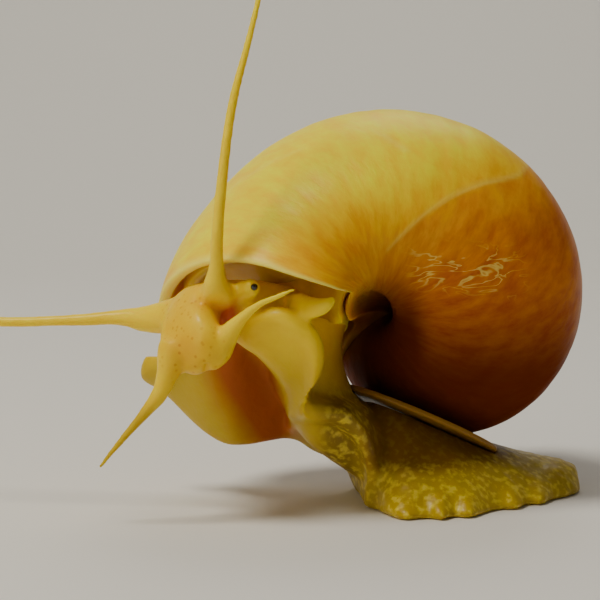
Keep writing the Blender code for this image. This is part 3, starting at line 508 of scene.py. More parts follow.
def moist_skin():
    """Snail skin: soft translucent flesh under a film of slime, which gives it small sharp highlights."""
    made, tree, shader = blank("moist_snail_skin")
    place = add_node(tree, "ShaderNodeTexCoord").outputs["Object"]
    warm, mottle, olive_and_shade, speck = [add_node(tree, "ShaderNodeAttribute", attribute_name=label).outputs["Fac"]
                                 for label in ("warm", "mottle", "olive_and_shade", "speck")]
    cloud = add_node(tree, "ShaderNodeTexNoise",
                     {"Vector": place, "Scale": 450.0, "Detail": 4.0}).outputs["Fac"]
    # Warm orange: the face's own tint, and painted shade on the neck, cheek pit, sole's valley and under
    # the operculum.
    base = add_node(tree, "ShaderNodeMix", {0: warm, 6: paint("#F8D800"), 7: paint("#C85400")},
                    data_type="RGBA")
    vary = add_node(tree, "ShaderNodeMapRange", {"Value": cloud, "From Min": 0.35, "From Max": 0.65,
                                                "To Min": 0.0, "To Max": 0.35})
    calm = add_node(tree, "ShaderNodeMath", {0: 1.0, 1: warm}, operation="SUBTRACT")
    veil = add_node(tree, "ShaderNodeMath", {0: vary.outputs[0], 1: calm.outputs[0]}, operation="MULTIPLY")
    tone = add_node(tree, "ShaderNodeMix", {0: veil.outputs[0], 6: base.outputs[2], 7: paint("#FFE428")},
                    data_type="RGBA")
    # Olive: the flank's own colour, and painted shade low on the front, in the valley and under the
    # operculum.
    olive = add_node(tree, "ShaderNodeMix", {0: olive_and_shade, 6: tone.outputs[2], 7: paint("#7A5E04")},
                     data_type="RGBA")
    cell = add_node(tree, "ShaderNodeTexNoise",
                    {"Vector": place, "Scale": 1350.0, "Detail": 2.0, "Roughness": 0.5})
    net = add_node(tree, "ShaderNodeMapRange", {"Value": cell.outputs["Fac"], "From Min": 0.48,
                                               "From Max": 0.66, "To Min": 0.0, "To Max": 0.9})
    amount = add_node(tree, "ShaderNodeMath", {0: net.outputs[0], 1: mottle}, operation="MULTIPLY")
    patch = add_node(tree, "ShaderNodeMix",
                     {0: amount.outputs[0], 6: olive.outputs[2], 7: paint("#E8D040")},
                     data_type="RGBA")
    dots = add_node(tree, "ShaderNodeTexVoronoi", {"Vector": place, "Scale": 1500.0, "Randomness": 1.0})
    spot = add_node(tree, "ShaderNodeMapRange", {"Value": dots.outputs["Distance"], "From Min": 0.16,
                                                "From Max": 0.30, "To Min": 1.0, "To Max": 0.0})
    share = add_node(tree, "ShaderNodeMath", {0: spot.outputs[0], 1: speck}, operation="MULTIPLY")
    colour = add_node(tree, "ShaderNodeMix",
                      {0: share.outputs[0], 6: patch.outputs[2], 7: paint("#B4480F")},
                      data_type="RGBA")
    tree.links.new(colour.outputs[2], shader.inputs["Base Color"])
    fine = add_node(tree, "ShaderNodeTexNoise",
                    {"Vector": place, "Scale": 1800.0, "Detail": 3.0}).outputs["Fac"]
    bump = add_node(tree, "ShaderNodeBump", {"Height": fine, "Strength": 0.25, "Distance": 0.0002})
    tree.links.new(bump.outputs[0], shader.inputs["Normal"])
    shader.inputs["Roughness"].default_value = 0.42
    shader.inputs["Specular IOR Level"].default_value = 0.2
    shader.inputs["Subsurface Weight"].default_value = 0.3
    shader.inputs["Subsurface Radius"].default_value = LIGHT_SPREAD
    shader.inputs["Subsurface Scale"].default_value = 0.0018
    shader.inputs["Coat Weight"].default_value = 0.12
    shader.inputs["Coat Roughness"].default_value = 0.18
    return made


def glossy_shell():
    """Snail shell: thin layers of calcium carbonate under a shiny horny skin, translucent gold with growth
    lines.
    """
    made, tree, shader = blank("translucent_gold_shell")
    growth, round_shell, deep, chalk_and_highlight, shade, painted_top_light, deposit = [
        add_node(tree, "ShaderNodeAttribute", attribute_name=label).outputs["Fac"]
        for label in ("growth", "round", "deep", "chalk_and_highlight", "shade", "painted_top_light", "deposit")]
    across = add_node(tree, "ShaderNodeMath", {0: round_shell, 1: 3.0}, operation="MULTIPLY")
    lines = add_node(tree, "ShaderNodeCombineXYZ", {"X": growth, "Y": across.outputs[0]})
    streak = add_node(tree, "ShaderNodeTexNoise", {"Vector": lines.outputs[0], "Scale": 9.0, "Detail": 6.0,
                                                  "Roughness": 0.6}).outputs["Fac"]
    place = add_node(tree, "ShaderNodeTexCoord").outputs["Object"]
    cloud = add_node(tree, "ShaderNodeTexNoise",
                     {"Vector": place, "Scale": 90.0, "Detail": 3.0}).outputs["Fac"]
    light = add_node(tree, "ShaderNodeMapRange", {"Value": streak, "From Min": 0.35, "From Max": 0.68})
    amber = add_node(tree, "ShaderNodeMix", {0: light.outputs[0], 6: paint("#F0A000"), 7: paint("#FFC000")},
                     data_type="RGBA")
    lemon = add_node(tree, "ShaderNodeMix", {0: light.outputs[0], 6: paint("#FFCC00"), 7: paint("#FFE600")},
                     data_type="RGBA")
    # Painted light: amber turns to lemon towards the lit top of the shell.
    young = add_node(tree, "ShaderNodeMix", {0: painted_top_light, 6: amber.outputs[2], 7: lemon.outputs[2]},
                     data_type="RGBA")
    old = add_node(tree, "ShaderNodeMix", {0: light.outputs[0], 6: paint("#B85400"), 7: paint("#E08400")},
                   data_type="RGBA")
    zone = add_node(tree, "ShaderNodeMix", {0: deep, 6: young.outputs[2], 7: old.outputs[2]},
                    data_type="RGBA")
    warm = add_node(tree, "ShaderNodeMapRange", {"Value": cloud, "From Min": 0.45, "From Max": 0.75,
                                                "To Min": 0.0, "To Max": 0.5})
    ripe = add_node(tree, "ShaderNodeMath", {0: warm.outputs[0], 1: deep}, operation="MULTIPLY")
    cloudy = add_node(tree, "ShaderNodeMix", {0: ripe.outputs[0], 6: zone.outputs[2], 7: paint("#E88000")},
                      data_type="RGBA")
    # Painted shade: dark red-brown low on the shell and in the umbilicus.
    dim = add_node(tree, "ShaderNodeMix", {0: shade, 6: cloudy.outputs[2], 7: paint("#5A1C00")},
                   data_type="RGBA")
    flat = add_node(tree, "ShaderNodeMapping", {"Vector": place, "Scale": (0.35, 0.6, 1.0)})
    curl = add_node(tree, "ShaderNodeTexNoise", {"Vector": flat.outputs[0], "Scale": 700.0, "Detail": 2.0,
                                                "Distortion": 0.8}).outputs["Fac"]
    aside = add_node(tree, "ShaderNodeMath", {0: curl, 1: 0.5}, operation="SUBTRACT")
    off = add_node(tree, "ShaderNodeMath", {0: aside.outputs[0]}, operation="ABSOLUTE")
    thread = add_node(tree, "ShaderNodeMapRange",
                      {"Value": off.outputs[0], "From Min": 0.004, "From Max": 0.03,
                       "To Min": 0.6, "To Max": 0.0})
    crust = add_node(tree, "ShaderNodeMath", {0: thread.outputs[0], 1: deposit}, operation="MULTIPLY")
    # Pale deposits, the pale rim and lines, and the painted ridge highlight.
    pale = add_node(tree, "ShaderNodeMath", {0: crust.outputs[0], 1: chalk_and_highlight}, operation="ADD",
                    use_clamp=True)
    colour = add_node(tree, "ShaderNodeMix", {0: pale.outputs[0], 6: dim.outputs[2], 7: paint("#FFE86E")},
                      data_type="RGBA")
    tree.links.new(colour.outputs[2], shader.inputs["Base Color"])
    bump = add_node(tree, "ShaderNodeBump", {"Height": streak, "Strength": 0.3, "Distance": 0.0004})
    tree.links.new(bump.outputs[0], shader.inputs["Normal"])
    sheen = add_node(tree, "ShaderNodeMapRange", {"Value": shade, "To Min": 0.12, "To Max": 0.0})
    gloss = add_node(tree, "ShaderNodeMapRange", {"Value": shade, "To Min": 0.08, "To Max": 0.0})
    tree.links.new(sheen.outputs[0], shader.inputs["Specular IOR Level"])
    tree.links.new(gloss.outputs[0], shader.inputs["Coat Weight"])
    shader.inputs["Roughness"].default_value = 0.4
    shader.inputs["Subsurface Weight"].default_value = 0.5
    shader.inputs["Subsurface Radius"].default_value = LIGHT_SPREAD
    shader.inputs["Subsurface Scale"].default_value = 0.003
    shader.inputs["Coat Roughness"].default_value = 0.25
    return made


def horn_plate():
    """Operculum: a thin plate of brown horn laid down in rings, satin where it is rubbed."""
    made, tree, shader = blank("brown_horn_plate")
    rings = add_node(tree, "ShaderNodeAttribute", attribute_name="growth").outputs["Fac"]
    line = add_node(tree, "ShaderNodeCombineXYZ", {"X": rings})
    band = add_node(tree, "ShaderNodeTexNoise", {"Vector": line.outputs[0], "Scale": 14.0, "Detail": 4.0})
    mixed = add_node(tree, "ShaderNodeMix",
                     {0: band.outputs["Fac"], 6: paint("#5A3808"), 7: paint("#B88820")},
                     data_type="RGBA")
    tree.links.new(mixed.outputs[2], shader.inputs["Base Color"])
    shader.inputs["Roughness"].default_value = 0.45
    shader.inputs["Specular IOR Level"].default_value = 0.25
    shader.inputs["Subsurface Weight"].default_value = 0.2
    shader.inputs["Subsurface Radius"].default_value = (1.0, 0.4, 0.1)
    shader.inputs["Subsurface Scale"].default_value = 0.0015
    shader.inputs["Coat Weight"].default_value = 0.1
    shader.inputs["Coat Roughness"].default_value = 0.2
    return made


def black_eye():
    """Snail eye: a black lens with a wet, glassy front."""
    made, tree, shader = blank("wet_black_eye")
    place = add_node(tree, "ShaderNodeTexCoord").outputs["Object"]
    cloud = add_node(tree, "ShaderNodeTexNoise", {"Vector": place, "Scale": 2500.0}).outputs["Fac"]
    mixed = add_node(tree, "ShaderNodeMix", {0: cloud, 6: paint("#050403"), 7: paint("#1C120A")},
                     data_type="RGBA")
    tree.links.new(mixed.outputs[2], shader.inputs["Base Color"])
    shader.inputs["Roughness"].default_value = 0.12
    shader.inputs["Coat Weight"].default_value = 0.8
    shader.inputs["Coat Roughness"].default_value = 0.05
    return made


def matt_floor():
    """Painted floor of the studio: pale and matt."""
    made, _, shader = blank("matt_studio_floor")
    shader.inputs["Base Color"].default_value = paint("#E6E3DC")
    shader.inputs["Roughness"].default_value = 0.9
    return made


# Shell
def section_loop(count):
    """Closed section, outside and inside together: the wall takes the first share of the columns."""
    wall = along(WALL, WALL_STEPS, 2)
    rest = along(np.array(WALL[-1:] + RETURN + WALL[:1]), RETURN_STEPS, 2)
    first = int(count * OUTER_SHARE)
    pick = np.linspace(0, WALL_STEPS - 1, first, endpoint=False).astype(int)
    rear = np.linspace(0, RETURN_STEPS - 1, count - first, endpoint=False).astype(int)
    loop = np.concatenate([wall[pick], rest[rear]])
    return loop[:, :2], loop[:, 2:]


def lip_offset(count):
    """Lead of the lip over the section's half plane by column, in radians.

    It falls as a cubic of the length round the wall, from far ahead at the suture to least at the base,
    and turns back at the inner lip.
    """
    share = np.arange(count) / count
    wall = np.linalg.norm(np.diff(along(WALL, WALL_STEPS, 2)[:, :2], axis=0), axis=1).sum()
    f = np.minimum(share / OUTER_SHARE, 1) * wall / LIP_LENGTH
    drop = LIP_FALL[0] * f + LIP_FALL[1] * f ** 2 + LIP_FALL[2] * f ** 3
    bend = LIP_BEND[0] * bell((f - LIP_BEND[1]) / LIP_BEND[2])
    inner = INNER_LIP[0] * ease((f - INNER_LIP[1]) / INNER_LIP[2])
    back = ease((share - OUTER_SHARE) / (1 - OUTER_SHARE))
    return (LIP_REACH - drop + bend + inner) * (1 - back) + LIP_REACH * back


def spiral(section, angle):
    """Section points turned round the axis by their angles and grown by exp(rate x angle)."""
    size = np.exp(GROWTH_RATE * angle)
    local = np.stack([section[..., 0] * size * np.cos(-angle), section[..., 0] * size * np.sin(-angle),
                      -section[..., 1] * size], -1)
    turn = np.array(Euler(np.radians(SHELL_TURN), "XYZ").to_matrix())
    spot = local @ turn.T + np.array(SHELL_APEX)
    away = np.linalg.norm(spot - np.array(UMBILICUS), axis=-1, keepdims=True)
    return spot + np.array(UMBILICUS_SHIFT) * bell(away / UMBILICUS_ROOM)


def shell_piece():
    """Whorl section carried along the growth spiral, round the lip and back along the inner wall."""
    count = SHELL_COLUMNS
    offset = lip_offset(count)
    share = np.arange(count) / count
    outer, inner = section_loop(count)
    window = ease(share / FLARE_BLEND) * ease((OUTER_SHARE * FLARE_END - share) / FLARE_BLEND)
    window = np.where(share < OUTER_SHARE, window, 0.0)
    age = np.concatenate([np.linspace(SPIRE_START, WHORL_START, SPIRE_ROWS, endpoint=False),
                          np.linspace(WHORL_START, 0.0, WHORL_ROWS)])
    flare = 1 + LIP_FLARE * ease(1 + age / LIP_FLARE_ANGLE)[:, None] * window
    lines = growth_relief(age)[:, None] * np.where(share < OUTER_SHARE, 1.0, 0.0)
    ring = SECTION_CENTRE + (outer - SECTION_CENTRE) * flare[..., None]
    way = unit(outer - SECTION_CENTRE)
    ring = ring + way * (lines - SHELL_INSET)[..., None]
    outside = spiral(ring, age[:, None] + offset)
    depth = np.linspace(0.0, INSIDE_END, INSIDE_ROWS)
    opened = 1 + LIP_FLARE * ease(1 + depth / LIP_FLARE_ANGLE)[:, None]
    inside = spiral(SECTION_CENTRE + (inner - SECTION_CENTRE) * opened[..., None], depth[:, None] + offset)
    ahead = unit(outside[-1] - outside[-2])
    blend = (1 - np.cos(LIP_STEPS))[:, None, None] / 2
    swell = np.sin(LIP_STEPS)[:, None, None] * LIP_ROUND
    edge = outside[-1] * (1 - blend) + inside[0] * blend + swell * ahead
    rings = np.concatenate([outside, edge, inside])
    grow = np.concatenate([age, np.zeros(len(LIP_STEPS)), np.full(INSIDE_ROWS, INSIDE_GROWTH)])
    uv = np.stack(np.broadcast_arrays(grow[:, None], share[None, :]), -1)
    ends = np.stack([rings[0].mean(0), rings[-1].mean(0)])
    shell = outward(surface("spiral_shell", rings, ends[0], ends[1], uv))
    spot = np.concatenate([rings.reshape(-1, 3), ends])
    outer = np.concatenate([np.repeat(np.arange(len(rings)) < len(age), count), [True, False]])
    pale_rim = bell((grow - RIM_AGE) / RIM_WIDTH)[:, None] * (1 - rise(share, RIM_END, RIM_FADE))
    for label, value in shell_fields(spot, outer, np.append(pale_rim, (0, 0))).items():
        mark(shell.data, label, value)
    return shell


def shell_fields(p, outer, rim):
    """Shares of deep orange on the older whorl, painted shade at the base and in the umbilicus, painted
    light in clear yellow at the top, pale deposits, and chalk with a painted ridge highlight.

    Each is a product of smooth steps over X, Z and the height below the rest line, in millimetres.
    """
    x, y, z = p.T
    rest = np.interp(x, REST_LINE[:, 0], REST_LINE[:, 1]) - z
    blush = 0.4 * ease(1 - np.linalg.norm(p - np.array(LIP_BLUSH), axis=1) / 8)
    deep = np.maximum(0.45 * ease(rest / 0.5 + 0.5) + 0.55 * ease(rest / 9), blush) * outer
    hole = np.linalg.norm((p - np.array(UMBILICUS_MOUTH)) * (1, 0.5, 0.6), axis=1)
    # Painted shade: darker towards the bottom of the shell and in the mouth of the umbilicus.
    low = fall(z, 26, 13) * np.where(outer, 1.0, rise(x, -12, 3))
    shade = np.clip(0.5 * ease(1.7 - hole / 3.6) + 0.95 * low, 0, 0.95)
    # Painted light: clearer yellow towards the top and left of the shell, where the light falls.
    painted_top_light = ease((z - 22 - 0.4 * (x + 22)) / 8)
    deposit = rise(x, -5, 3) * fall(x, 9, 4) * ease(1.3 - np.abs(z - 25.6 + 0.1 * x) / 2.6) * (y < 12)
    line = 0.35 * bell(rest / 0.28) * rise(z, 26, 3) * outer
    # The first path is a pale crack mark, the second a painted highlight along a growth ridge.
    for path in MARK_AND_RIDGE_HIGHLIGHT:
        line = line + 0.3 * closeness(p, path, 0.6) * outer
    chalk_and_highlight = np.clip(line + 0.8 * rim, 0, 1)
    return {"deep": deep, "shade": shade, "painted_top_light": painted_top_light, "deposit": deposit, "chalk_and_highlight": chalk_and_highlight}


def growth_relief(age):
    """Height of the growth lines by age: the sum of fine and broad uneven ridges."""
    place = np.stack([age * LINE_STEPS, age * 0, age * 0], 1)
    return FINE_LINES[0] * grain(place, FINE_LINES[1], 3) + BROAD_LINES[0] * grain(place, BROAD_LINES[1], 5)


# Flesh
def margin_wave(x):
    """Shift of the foot's margin on the floor by place along it, an uneven wave."""
    return MARGIN_WAVE * np.sin(WAVE_TURN * x + WAVE_UNEVEN * np.sin(WAVE_DRIFT * x))


def ridge(a, row):
    """Height of the ridge that carries the operculum: a bell along the rows times a bell across."""
    return RIDGE_HEIGHT * bell((row - RIDGE_ROW) / RIDGE_LENGTH) * bell((a - 0.5) / RIDGE_WIDTH)


def foot_loft(count=150, columns=44):
    """Foot: rings across from edge to edge over the sole, round the right edge and back over the top.

    The sole is hollowed by a squared sine, and where it is lifted two rolls stand on either side of a
    bell-shaped valley. The back rises by a sine and carries the ridge.
    """
    table = np.array([(*l, *r, s, h, e, i) for i, (l, r, s, h, e) in enumerate(FOOT)])
    middle = (table[:, :3] + table[:, 3:6]) / 2
    rows = along(np.concatenate([middle, table], 1), count)[:, 3:]
    left, right = rows[:, :3], rows[:, 3:6]
    sag, height, edge, place = rows[:, 6:].T
    forward = unit(np.gradient((left + right) / 2, axis=0))
    back = unit(np.cross(right - left, forward))
    for _ in range(BACK_ROUNDS):
        inner = unit(back[:-2] + 2 * back[1:-1] + back[2:])
        back = np.concatenate([back[:1], inner, back[-1:]])
    on_floor = (left[:, 2] < FLOOR_LEVEL) & (right[:, 2] < FLOOR_LEVEL)
    back[on_floor] = (0, 0, 1)
    left[on_floor, 2] = 0
    right[on_floor, 2] = 0
    sag = np.where(on_floor, 0, np.maximum(sag, 0))
    wave_left = (on_floor * margin_wave(left[:, 0]))[:, None]
    wave_right = (on_floor * margin_wave(right[:, 0]))[:, None]
    a = np.linspace(0, 1, columns)[None, :, None]
    across = (right - left)[:, None]
    place = place[:, None, None]
    ahead = place - VALLEY_ROW
    valley = np.clip(VALLEY_PLACE - VALLEY_SLANT * ahead - VALLEY_BEND * ahead * np.abs(ahead), 0.02, 0.98)
    lifted = rise(place, HOLLOW_FIRST, HOLLOW_RAMP) * fall(place, HOLLOW_LAST, HOLLOW_RAMP)
    near = NEAR_ROLL * np.sin(np.pi * np.clip(a / valley, 0, 1)) ** 2
    far = FAR_ROLL * np.sin(np.pi * np.clip((a - valley) / (1 - valley), 0, 1)) ** 2
    groove = VALLEY_DEPTH * bell((a - valley) / VALLEY_WIDTH)
    ends = ease(a / EDGE_SHARE) * ease((1 - a) / EDGE_SHARE)
    pleat = PLEAT_DEPTH * bell((place - PLEAT_ROW) / PLEAT_WIDTH) * (1 - rise(a, PLEAT_START, PLEAT_FADE))
    arch = SAG_SHARE * np.sin(np.pi * a) ** 2 * sag[:, None, None]
    hollow = arch + (groove * ends - near - far) * lifted + pleat
    up = back[:, None]
    sole = left[:, None] + across * a + up * hollow
    b = a[:, ::-1]
    hump = height[:, None, None] * np.sin(np.pi * b) ** BACK_ROUNDNESS
    high = edge[:, None, None] + hump + ridge(b, place)
    top = left[:, None] + across * b + up * (hollow[:, ::-1] * BACK_FOLLOW + high)
    bend = np.radians((-60, -30, 0, 30, 60))[None, :, None]
    out = unit(right - left)[:, None] * (edge / 2)[:, None, None]
    lift = up * (edge / 2)[:, None, None]
    rim_right = right[:, None] + out * np.cos(bend) + lift * (1 + np.sin(bend))
    rim_left = left[:, None] - out * np.cos(bend) + lift * (1 - np.sin(bend))
    for face, share in ((sole, a[..., 0]), (top, b[..., 0])):
        face[..., 1] += wave_left * (1 - ease(share / MARGIN_SHARE))
        face[..., 1] -= wave_right * (1 - ease((1 - share) / MARGIN_SHARE))
    rim_left[..., 1] += wave_left
    rim_right[..., 1] -= wave_right
    rings = np.concatenate([sole, rim_right, top, rim_left], 1)
    return outward(surface("foot", rings, rings[0].mean(0), rings[-1].mean(0)))


def skin_piece():
    """All flesh fused by a voxel remesh and smoothed, so no joint shows between foot, neck and feelers."""
    siphon = np.array([(x, y, z, r, r * SIPHON_FLATTEN) for x, y, z, r in SIPHON])
    mirrored = [("stalk_b", reflect(EYE_STALK, HEAD_MIDDLE, HEAD_ACROSS), 20, 32, UP, 0.3, 0.9),
                ("siphon", siphon, 40, 32, UP, 0.0, 0.9),
                ("lobe", reflect(siphon[:4], NECK_MIDDLE, HEAD_ACROSS), 30, 32, UP, 0.0, 0.9)]
    lofts = [foot_loft()] + [tube(*row) for row in LIMBS + mirrored]
    points, faces, start = [], [], 0
    for loft in lofts:
        mesh = loft.data
        points.append(point_rows(mesh, "co"))
        faces += [tuple(v + start for v in face.vertices) for face in mesh.polygons]
        start += len(mesh.vertices)
        bpy.data.objects.remove(loft, do_unlink=True)
    mesh = bpy.data.meshes.new("skin")
    mesh.from_pydata(np.concatenate(points).tolist(), [], faces)
    skin = bpy.data.objects.new("snail_skin", mesh)
    bpy.context.scene.collection.objects.link(skin)
    fuse = skin.modifiers.new("fuse", "REMESH")
    fuse.mode = "VOXEL"
    fuse.voxel_size = VOXEL * MM
    fuse.use_smooth_shade = True
    relax = skin.modifiers.new("relax", "SMOOTH")
    relax.factor = 0.5
    relax.iterations = RELAX_ROUNDS
    view = bpy.context.evaluated_depsgraph_get()
    skin.data = bpy.data.meshes.new_from_object(skin.evaluated_get(view))
    skin.modifiers.clear()
    mesh = skin.data
    mesh.name = "snail_skin"
    spot = under_plate(softened(mesh, point_rows(mesh, "co") / MM))
    mesh.vertices.foreach_set("co", (spot * MM).ravel())
    normal = point_rows(mesh, "normal")
    fields = skin_fields(spot)
    dent = ease(1 - np.linalg.norm(spot - np.array(CHEEK_PIT), axis=1) / PIT_REACH)[:, None]
    spot = spot + normal * skin_relief(spot, fields)[:, None] + dent * np.array(PIT_PUSH)
    spot[:, 2] = np.maximum(spot[:, 2], 0)
    mesh.vertices.foreach_set("co", (spot * MM).ravel())
    for label, value in fields.items():
        mark(mesh, label, value)
    mesh.polygons.foreach_set("use_smooth", np.ones(len(mesh.polygons), bool))
    mesh.update()
    return skin


def softened(mesh, spot):
    """Moves each point halfway to the middle of its neighbours, many times, save along the thin feelers."""
    ends = np.empty(len(mesh.edges) * 2, np.int32)
    mesh.edges.foreach_get("vertices", ends)
    a, b = ends.reshape(-1, 2).T
    near, far = np.concatenate([a, b]), np.concatenate([b, a])
    number = np.maximum(np.bincount(near, minlength=len(spot)), 1)
    thin = np.zeros(len(spot))
    for rows, first in ((TENTACLE_LEFT, 3), (TENTACLE_RIGHT, 3), (PALP_LEFT, 3), (PALP_RIGHT, 4)):
        thin = np.maximum(thin, closeness(spot, np.array(rows)[first:, :3], THIN_REACH))
    pull = 0.5 * (1 - ease(3 * thin))[:, None]
    for _ in range(SOFT_ROUNDS):
        mean = np.stack([np.bincount(near, spot[far, k], len(spot)) for k in range(3)], 1) / number[:, None]
        spot = spot + pull * (mean - spot)
    return spot


def under_plate(spot):
    """Presses flesh that stands a little over the operculum's underside back below it."""
    ax, ay, up = plate_axes()
    rel = spot - np.array(OPERCULUM_CENTRE)
    inside = (rel @ ax * 2 / OPERCULUM_LENGTH) ** 2 + (rel @ ay * 2 / OPERCULUM_WIDTH) ** 2 < 1.0
    over = rel @ up + PLATE_CLEAR
    return spot - np.where(inside & (over > 0) & (over < PLATE_DEPTH), over, 0)[:, None] * up


def closeness(points, path, reach):
    """1 on a line through the places and falling to 0 at the reach."""
    line = along(path, 24)
    best = np.full(len(points), np.inf)
    for spot in line:
        best = np.minimum(best, np.linalg.norm(points - spot, axis=1))
    return ease(1 - best / reach)


def skin_fields(p):
    """Shares of warm orange, pale flecks, olive and orange specks over the skin; the warm orange and the
    olive are partly the skin's own tint and partly painted shade.

    Each is a sum or product of the named places and of smooth steps over X and Z, in millimetres.
    """
    x, _, z = p.T
    face, neck, pit, valley, palps = [closeness(p, path, reach) for path, reach in
                                      (FACE_TINT, NECK_SHADE, PIT_SHADE, VALLEY_SHADE, PALP_TINT)]
    flank = rise(x, -14.2, 3.5) * fall(z, 14, 4) * rise(z, 0, 0.2)
    # Painted shade on the flesh under the operculum: browner and darker, with fewer flecks.
    under = rise(z, 3.6, 2) * rise(x, -9.5, 3) * fall(x, 9, 3)
    # Warm orange: the face's own tint, and painted shade on the neck, in the cheek pit, in the valley and
    # under the operculum.
    warm = np.clip(0.5 * face + 0.85 * neck + 0.95 * pit + valley + 0.9 * under + 0.12, 0, 1)
    # Painted shade: darker low on the front of the head and foot, save on the mouth feelers and in the
    # valley.
    front = fall(z, 20, 7) * fall(x, -8, 3) * (1 - palps) * (1 - valley)
    # Olive: the flank's own colour, with painted shade low on the front, under the operculum and in the
    # valley.
    olive_and_shade = np.clip(0.6 * flank + 0.5 * front + 0.45 * under + 0.35 * valley, 0, 0.9)
    return {"warm": warm, "mottle": 0.8 * flank * (1 - 0.85 * under), "olive_and_shade": olive_and_shade, "speck": 0.7 * face}


def skin_relief(p, fields):
    """Height of the wrinkles: warts on the flank, fine grain everywhere and the slit of the mouth."""
    warts = BIG_WARTS[0] * grain(p, BIG_WARTS[1], 11) + SMALL_WARTS[0] * grain(p, SMALL_WARTS[1], 12)
    fine = FINE_GRAIN[0] * grain(p, FINE_GRAIN[1], 13)
    mouth = MOUTH_DEPTH * closeness(p, MOUTH_SLIT, MOUTH_REACH)
    return warts * fields["mottle"] + fine - SKIN_INSET - mouth


def mantle_piece():
    """The soft body's rim just inside the aperture, a closed plug on the inner section."""
    count = SHELL_COLUMNS
    inner = section_loop(count)[1]
    middle = inner.mean(0)
    offset = lip_offset(count)
    size, depth = along(MANTLE_ROLL, MANTLE_ROWS, 2).T
    ring = middle + (inner - middle) * size[:, None, None]
    lead = offset.mean() + (offset - offset.mean()) * size[:, None]
    rings = spiral(ring, depth[:, None] + lead)
    tip = spiral(middle, np.array(depth[0] + offset.mean()))
    mantle = outward(surface("mantle_rim", rings, tip, rings[-1].mean(0)))
    warm = 0.05 + 0.3 * ease((0.93 - size) / 0.12)
    warm = np.append(np.repeat(warm, count), (0.5, 0.1))
    mark(mantle.data, "warm", warm)
    return mantle


# Operculum
def plate_axes():
    """Directions along, across and out of the operculum."""
    ax = unit(OPERCULUM_ALONG)
    ay = unit(np.array(OPERCULUM_ACROSS) - np.dot(OPERCULUM_ACROSS, ax) * ax)
    return ax, ay, np.cross(ax, ay)


def operculum_piece(sides=120, rows=40):
    """Oval plate: radius rows from the centre over the top, round the edge and back underneath."""
    ax, ay, up = plate_axes()
    r = np.linspace(PLATE_FIRST, PLATE_EDGE, rows)
    angle = np.linspace(0, TURN, sides, endpoint=False)
    wave = BROAD_RINGS[0] * np.sin(r * BROAD_RINGS[1]) + FINE_RINGS[0] * np.sin(r * FINE_RINGS[1] + 1)
    high = OPERCULUM_THICK * PLATE_TOP + wave
    low = PLATE_UNDER + wave[::-1] * UNDER_SHARE
    bend = np.radians((60, 30, 0, -30, -60))
    half = OPERCULUM_THICK / 2
    radius = np.concatenate([r, PLATE_EDGE + (1 - PLATE_EDGE) * np.cos(bend), r[::-1]])
    height = np.concatenate([high, half + (half - 0.03) * np.sin(bend), low])
    oval = 1 - OPERCULUM_TAPER * np.cos(angle)
    centre = np.array(OPERCULUM_CENTRE)
    rings = (centre + height[:, None, None] * up
             + (radius[:, None] * np.cos(angle) * OPERCULUM_LENGTH / 2)[..., None] * ax
             + (radius[:, None] * np.sin(angle) * oval * OPERCULUM_WIDTH / 2)[..., None] * ay)
    uv = np.stack(np.broadcast_arrays(radius[:, None], (angle / TURN)[None, :]), -1)
    return outward(surface("horn_operculum", rings, centre + up * high[0], centre + up * low[-1], uv))


skin_finish = moist_skin()
shell = shell_piece()
shell.data.materials.append(glossy_shell())
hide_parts("shell")
skin = skin_piece()
skin.data.materials.clear()
skin.data.materials.append(skin_finish)
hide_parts(*FLESH_NODES)
mantle = mantle_piece()
mantle.data.materials.append(skin_finish)
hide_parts("mantle_collar")
operculum = operculum_piece()
operculum.data.materials.append(horn_plate())
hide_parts("operculum")
for piece in (shell, skin, mantle, operculum):
    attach(piece, "root")
eye_finish = black_eye()
for side in ("left", "right"):
    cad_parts["eye_" + side].material_slots[0].material = eye_finish


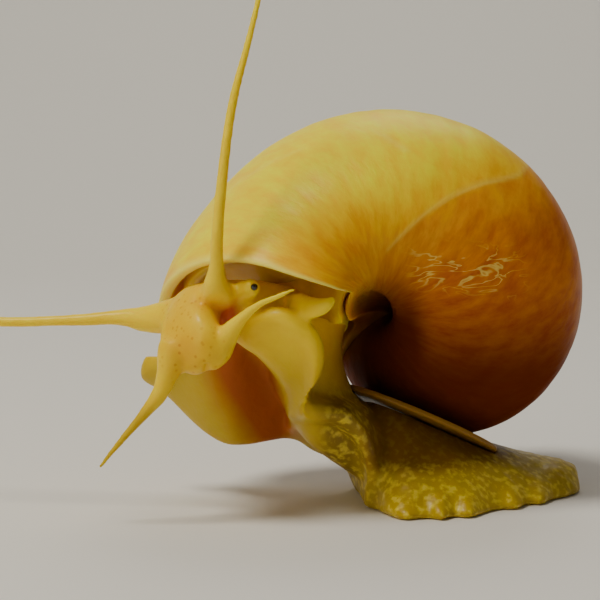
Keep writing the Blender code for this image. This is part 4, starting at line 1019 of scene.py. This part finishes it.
# Studio
def studio():
    """Backdrop sheet: a flat floor that bends up into a wall, one profile drawn out along X."""
    bend = np.radians(np.linspace(0, 90, 33))
    wall = BACKDROP_BEND + BACKDROP_RADIUS
    depth = np.concatenate([[BACKDROP_FRONT], BACKDROP_BEND + BACKDROP_RADIUS * np.sin(bend), [wall]])
    height = np.concatenate([[0.0], BACKDROP_RADIUS * (1 - np.cos(bend)), [BACKDROP_TOP]])
    half = BACKDROP_HALF * MM
    points = [(side, y, z) for y, z in zip(depth * MM, height * MM) for side in (-half, half)]
    faces = [(2 * i, 2 * i + 1, 2 * i + 3, 2 * i + 2) for i in range(len(depth) - 1)]
    mesh = bpy.data.meshes.new("studio_floor")
    mesh.from_pydata(points, [], faces)
    mesh.polygons.foreach_set("use_smooth", np.ones(len(faces), bool))
    mesh.update()
    floor = bpy.data.objects.new("studio_floor", mesh)
    bpy.context.scene.collection.objects.link(floor)
    floor.data.materials.append(matt_floor())


def lamp(name, place, aim, size, power, colour):
    """A soft round lamp at a place, turned to shine at another."""
    light = bpy.data.lights.new(name, "AREA")
    light.shape = "DISK"
    light.size = size * MM
    light.energy = power
    light.color = colour
    thing = bpy.data.objects.new(name, light)
    bpy.context.scene.collection.objects.link(thing)
    start = np.array(place)
    look = unit(np.array(aim) - start)
    flat = np.hypot(look[0], look[1])
    thing.location = start * MM
    thing.rotation_euler = (np.arctan2(flat, -look[2]), 0, np.arctan2(-look[0], look[1]))


studio()
for row in LAMPS:
    lamp(*row)

world = bpy.data.worlds.new("studio_air")
world.use_nodes = True
world.node_tree.nodes["Background"].inputs["Color"].default_value = paint(AIR_COLOUR)
world.node_tree.nodes["Background"].inputs["Strength"].default_value = AIR_STRENGTH
bpy.context.scene.world = world

lens = bpy.data.cameras.new("camera")
lens.lens = CAMERA_LENS
lens.sensor_width = CAMERA_SENSOR
lens.clip_start = CAMERA_NEAR
camera = bpy.data.objects.new("camera", lens)
bpy.context.scene.collection.objects.link(camera)
camera.location = np.array(CAMERA_PLACE) * MM
camera.rotation_euler = (np.pi / 2 - CAMERA_DOWN, 0, 0)
bpy.context.scene.camera = camera
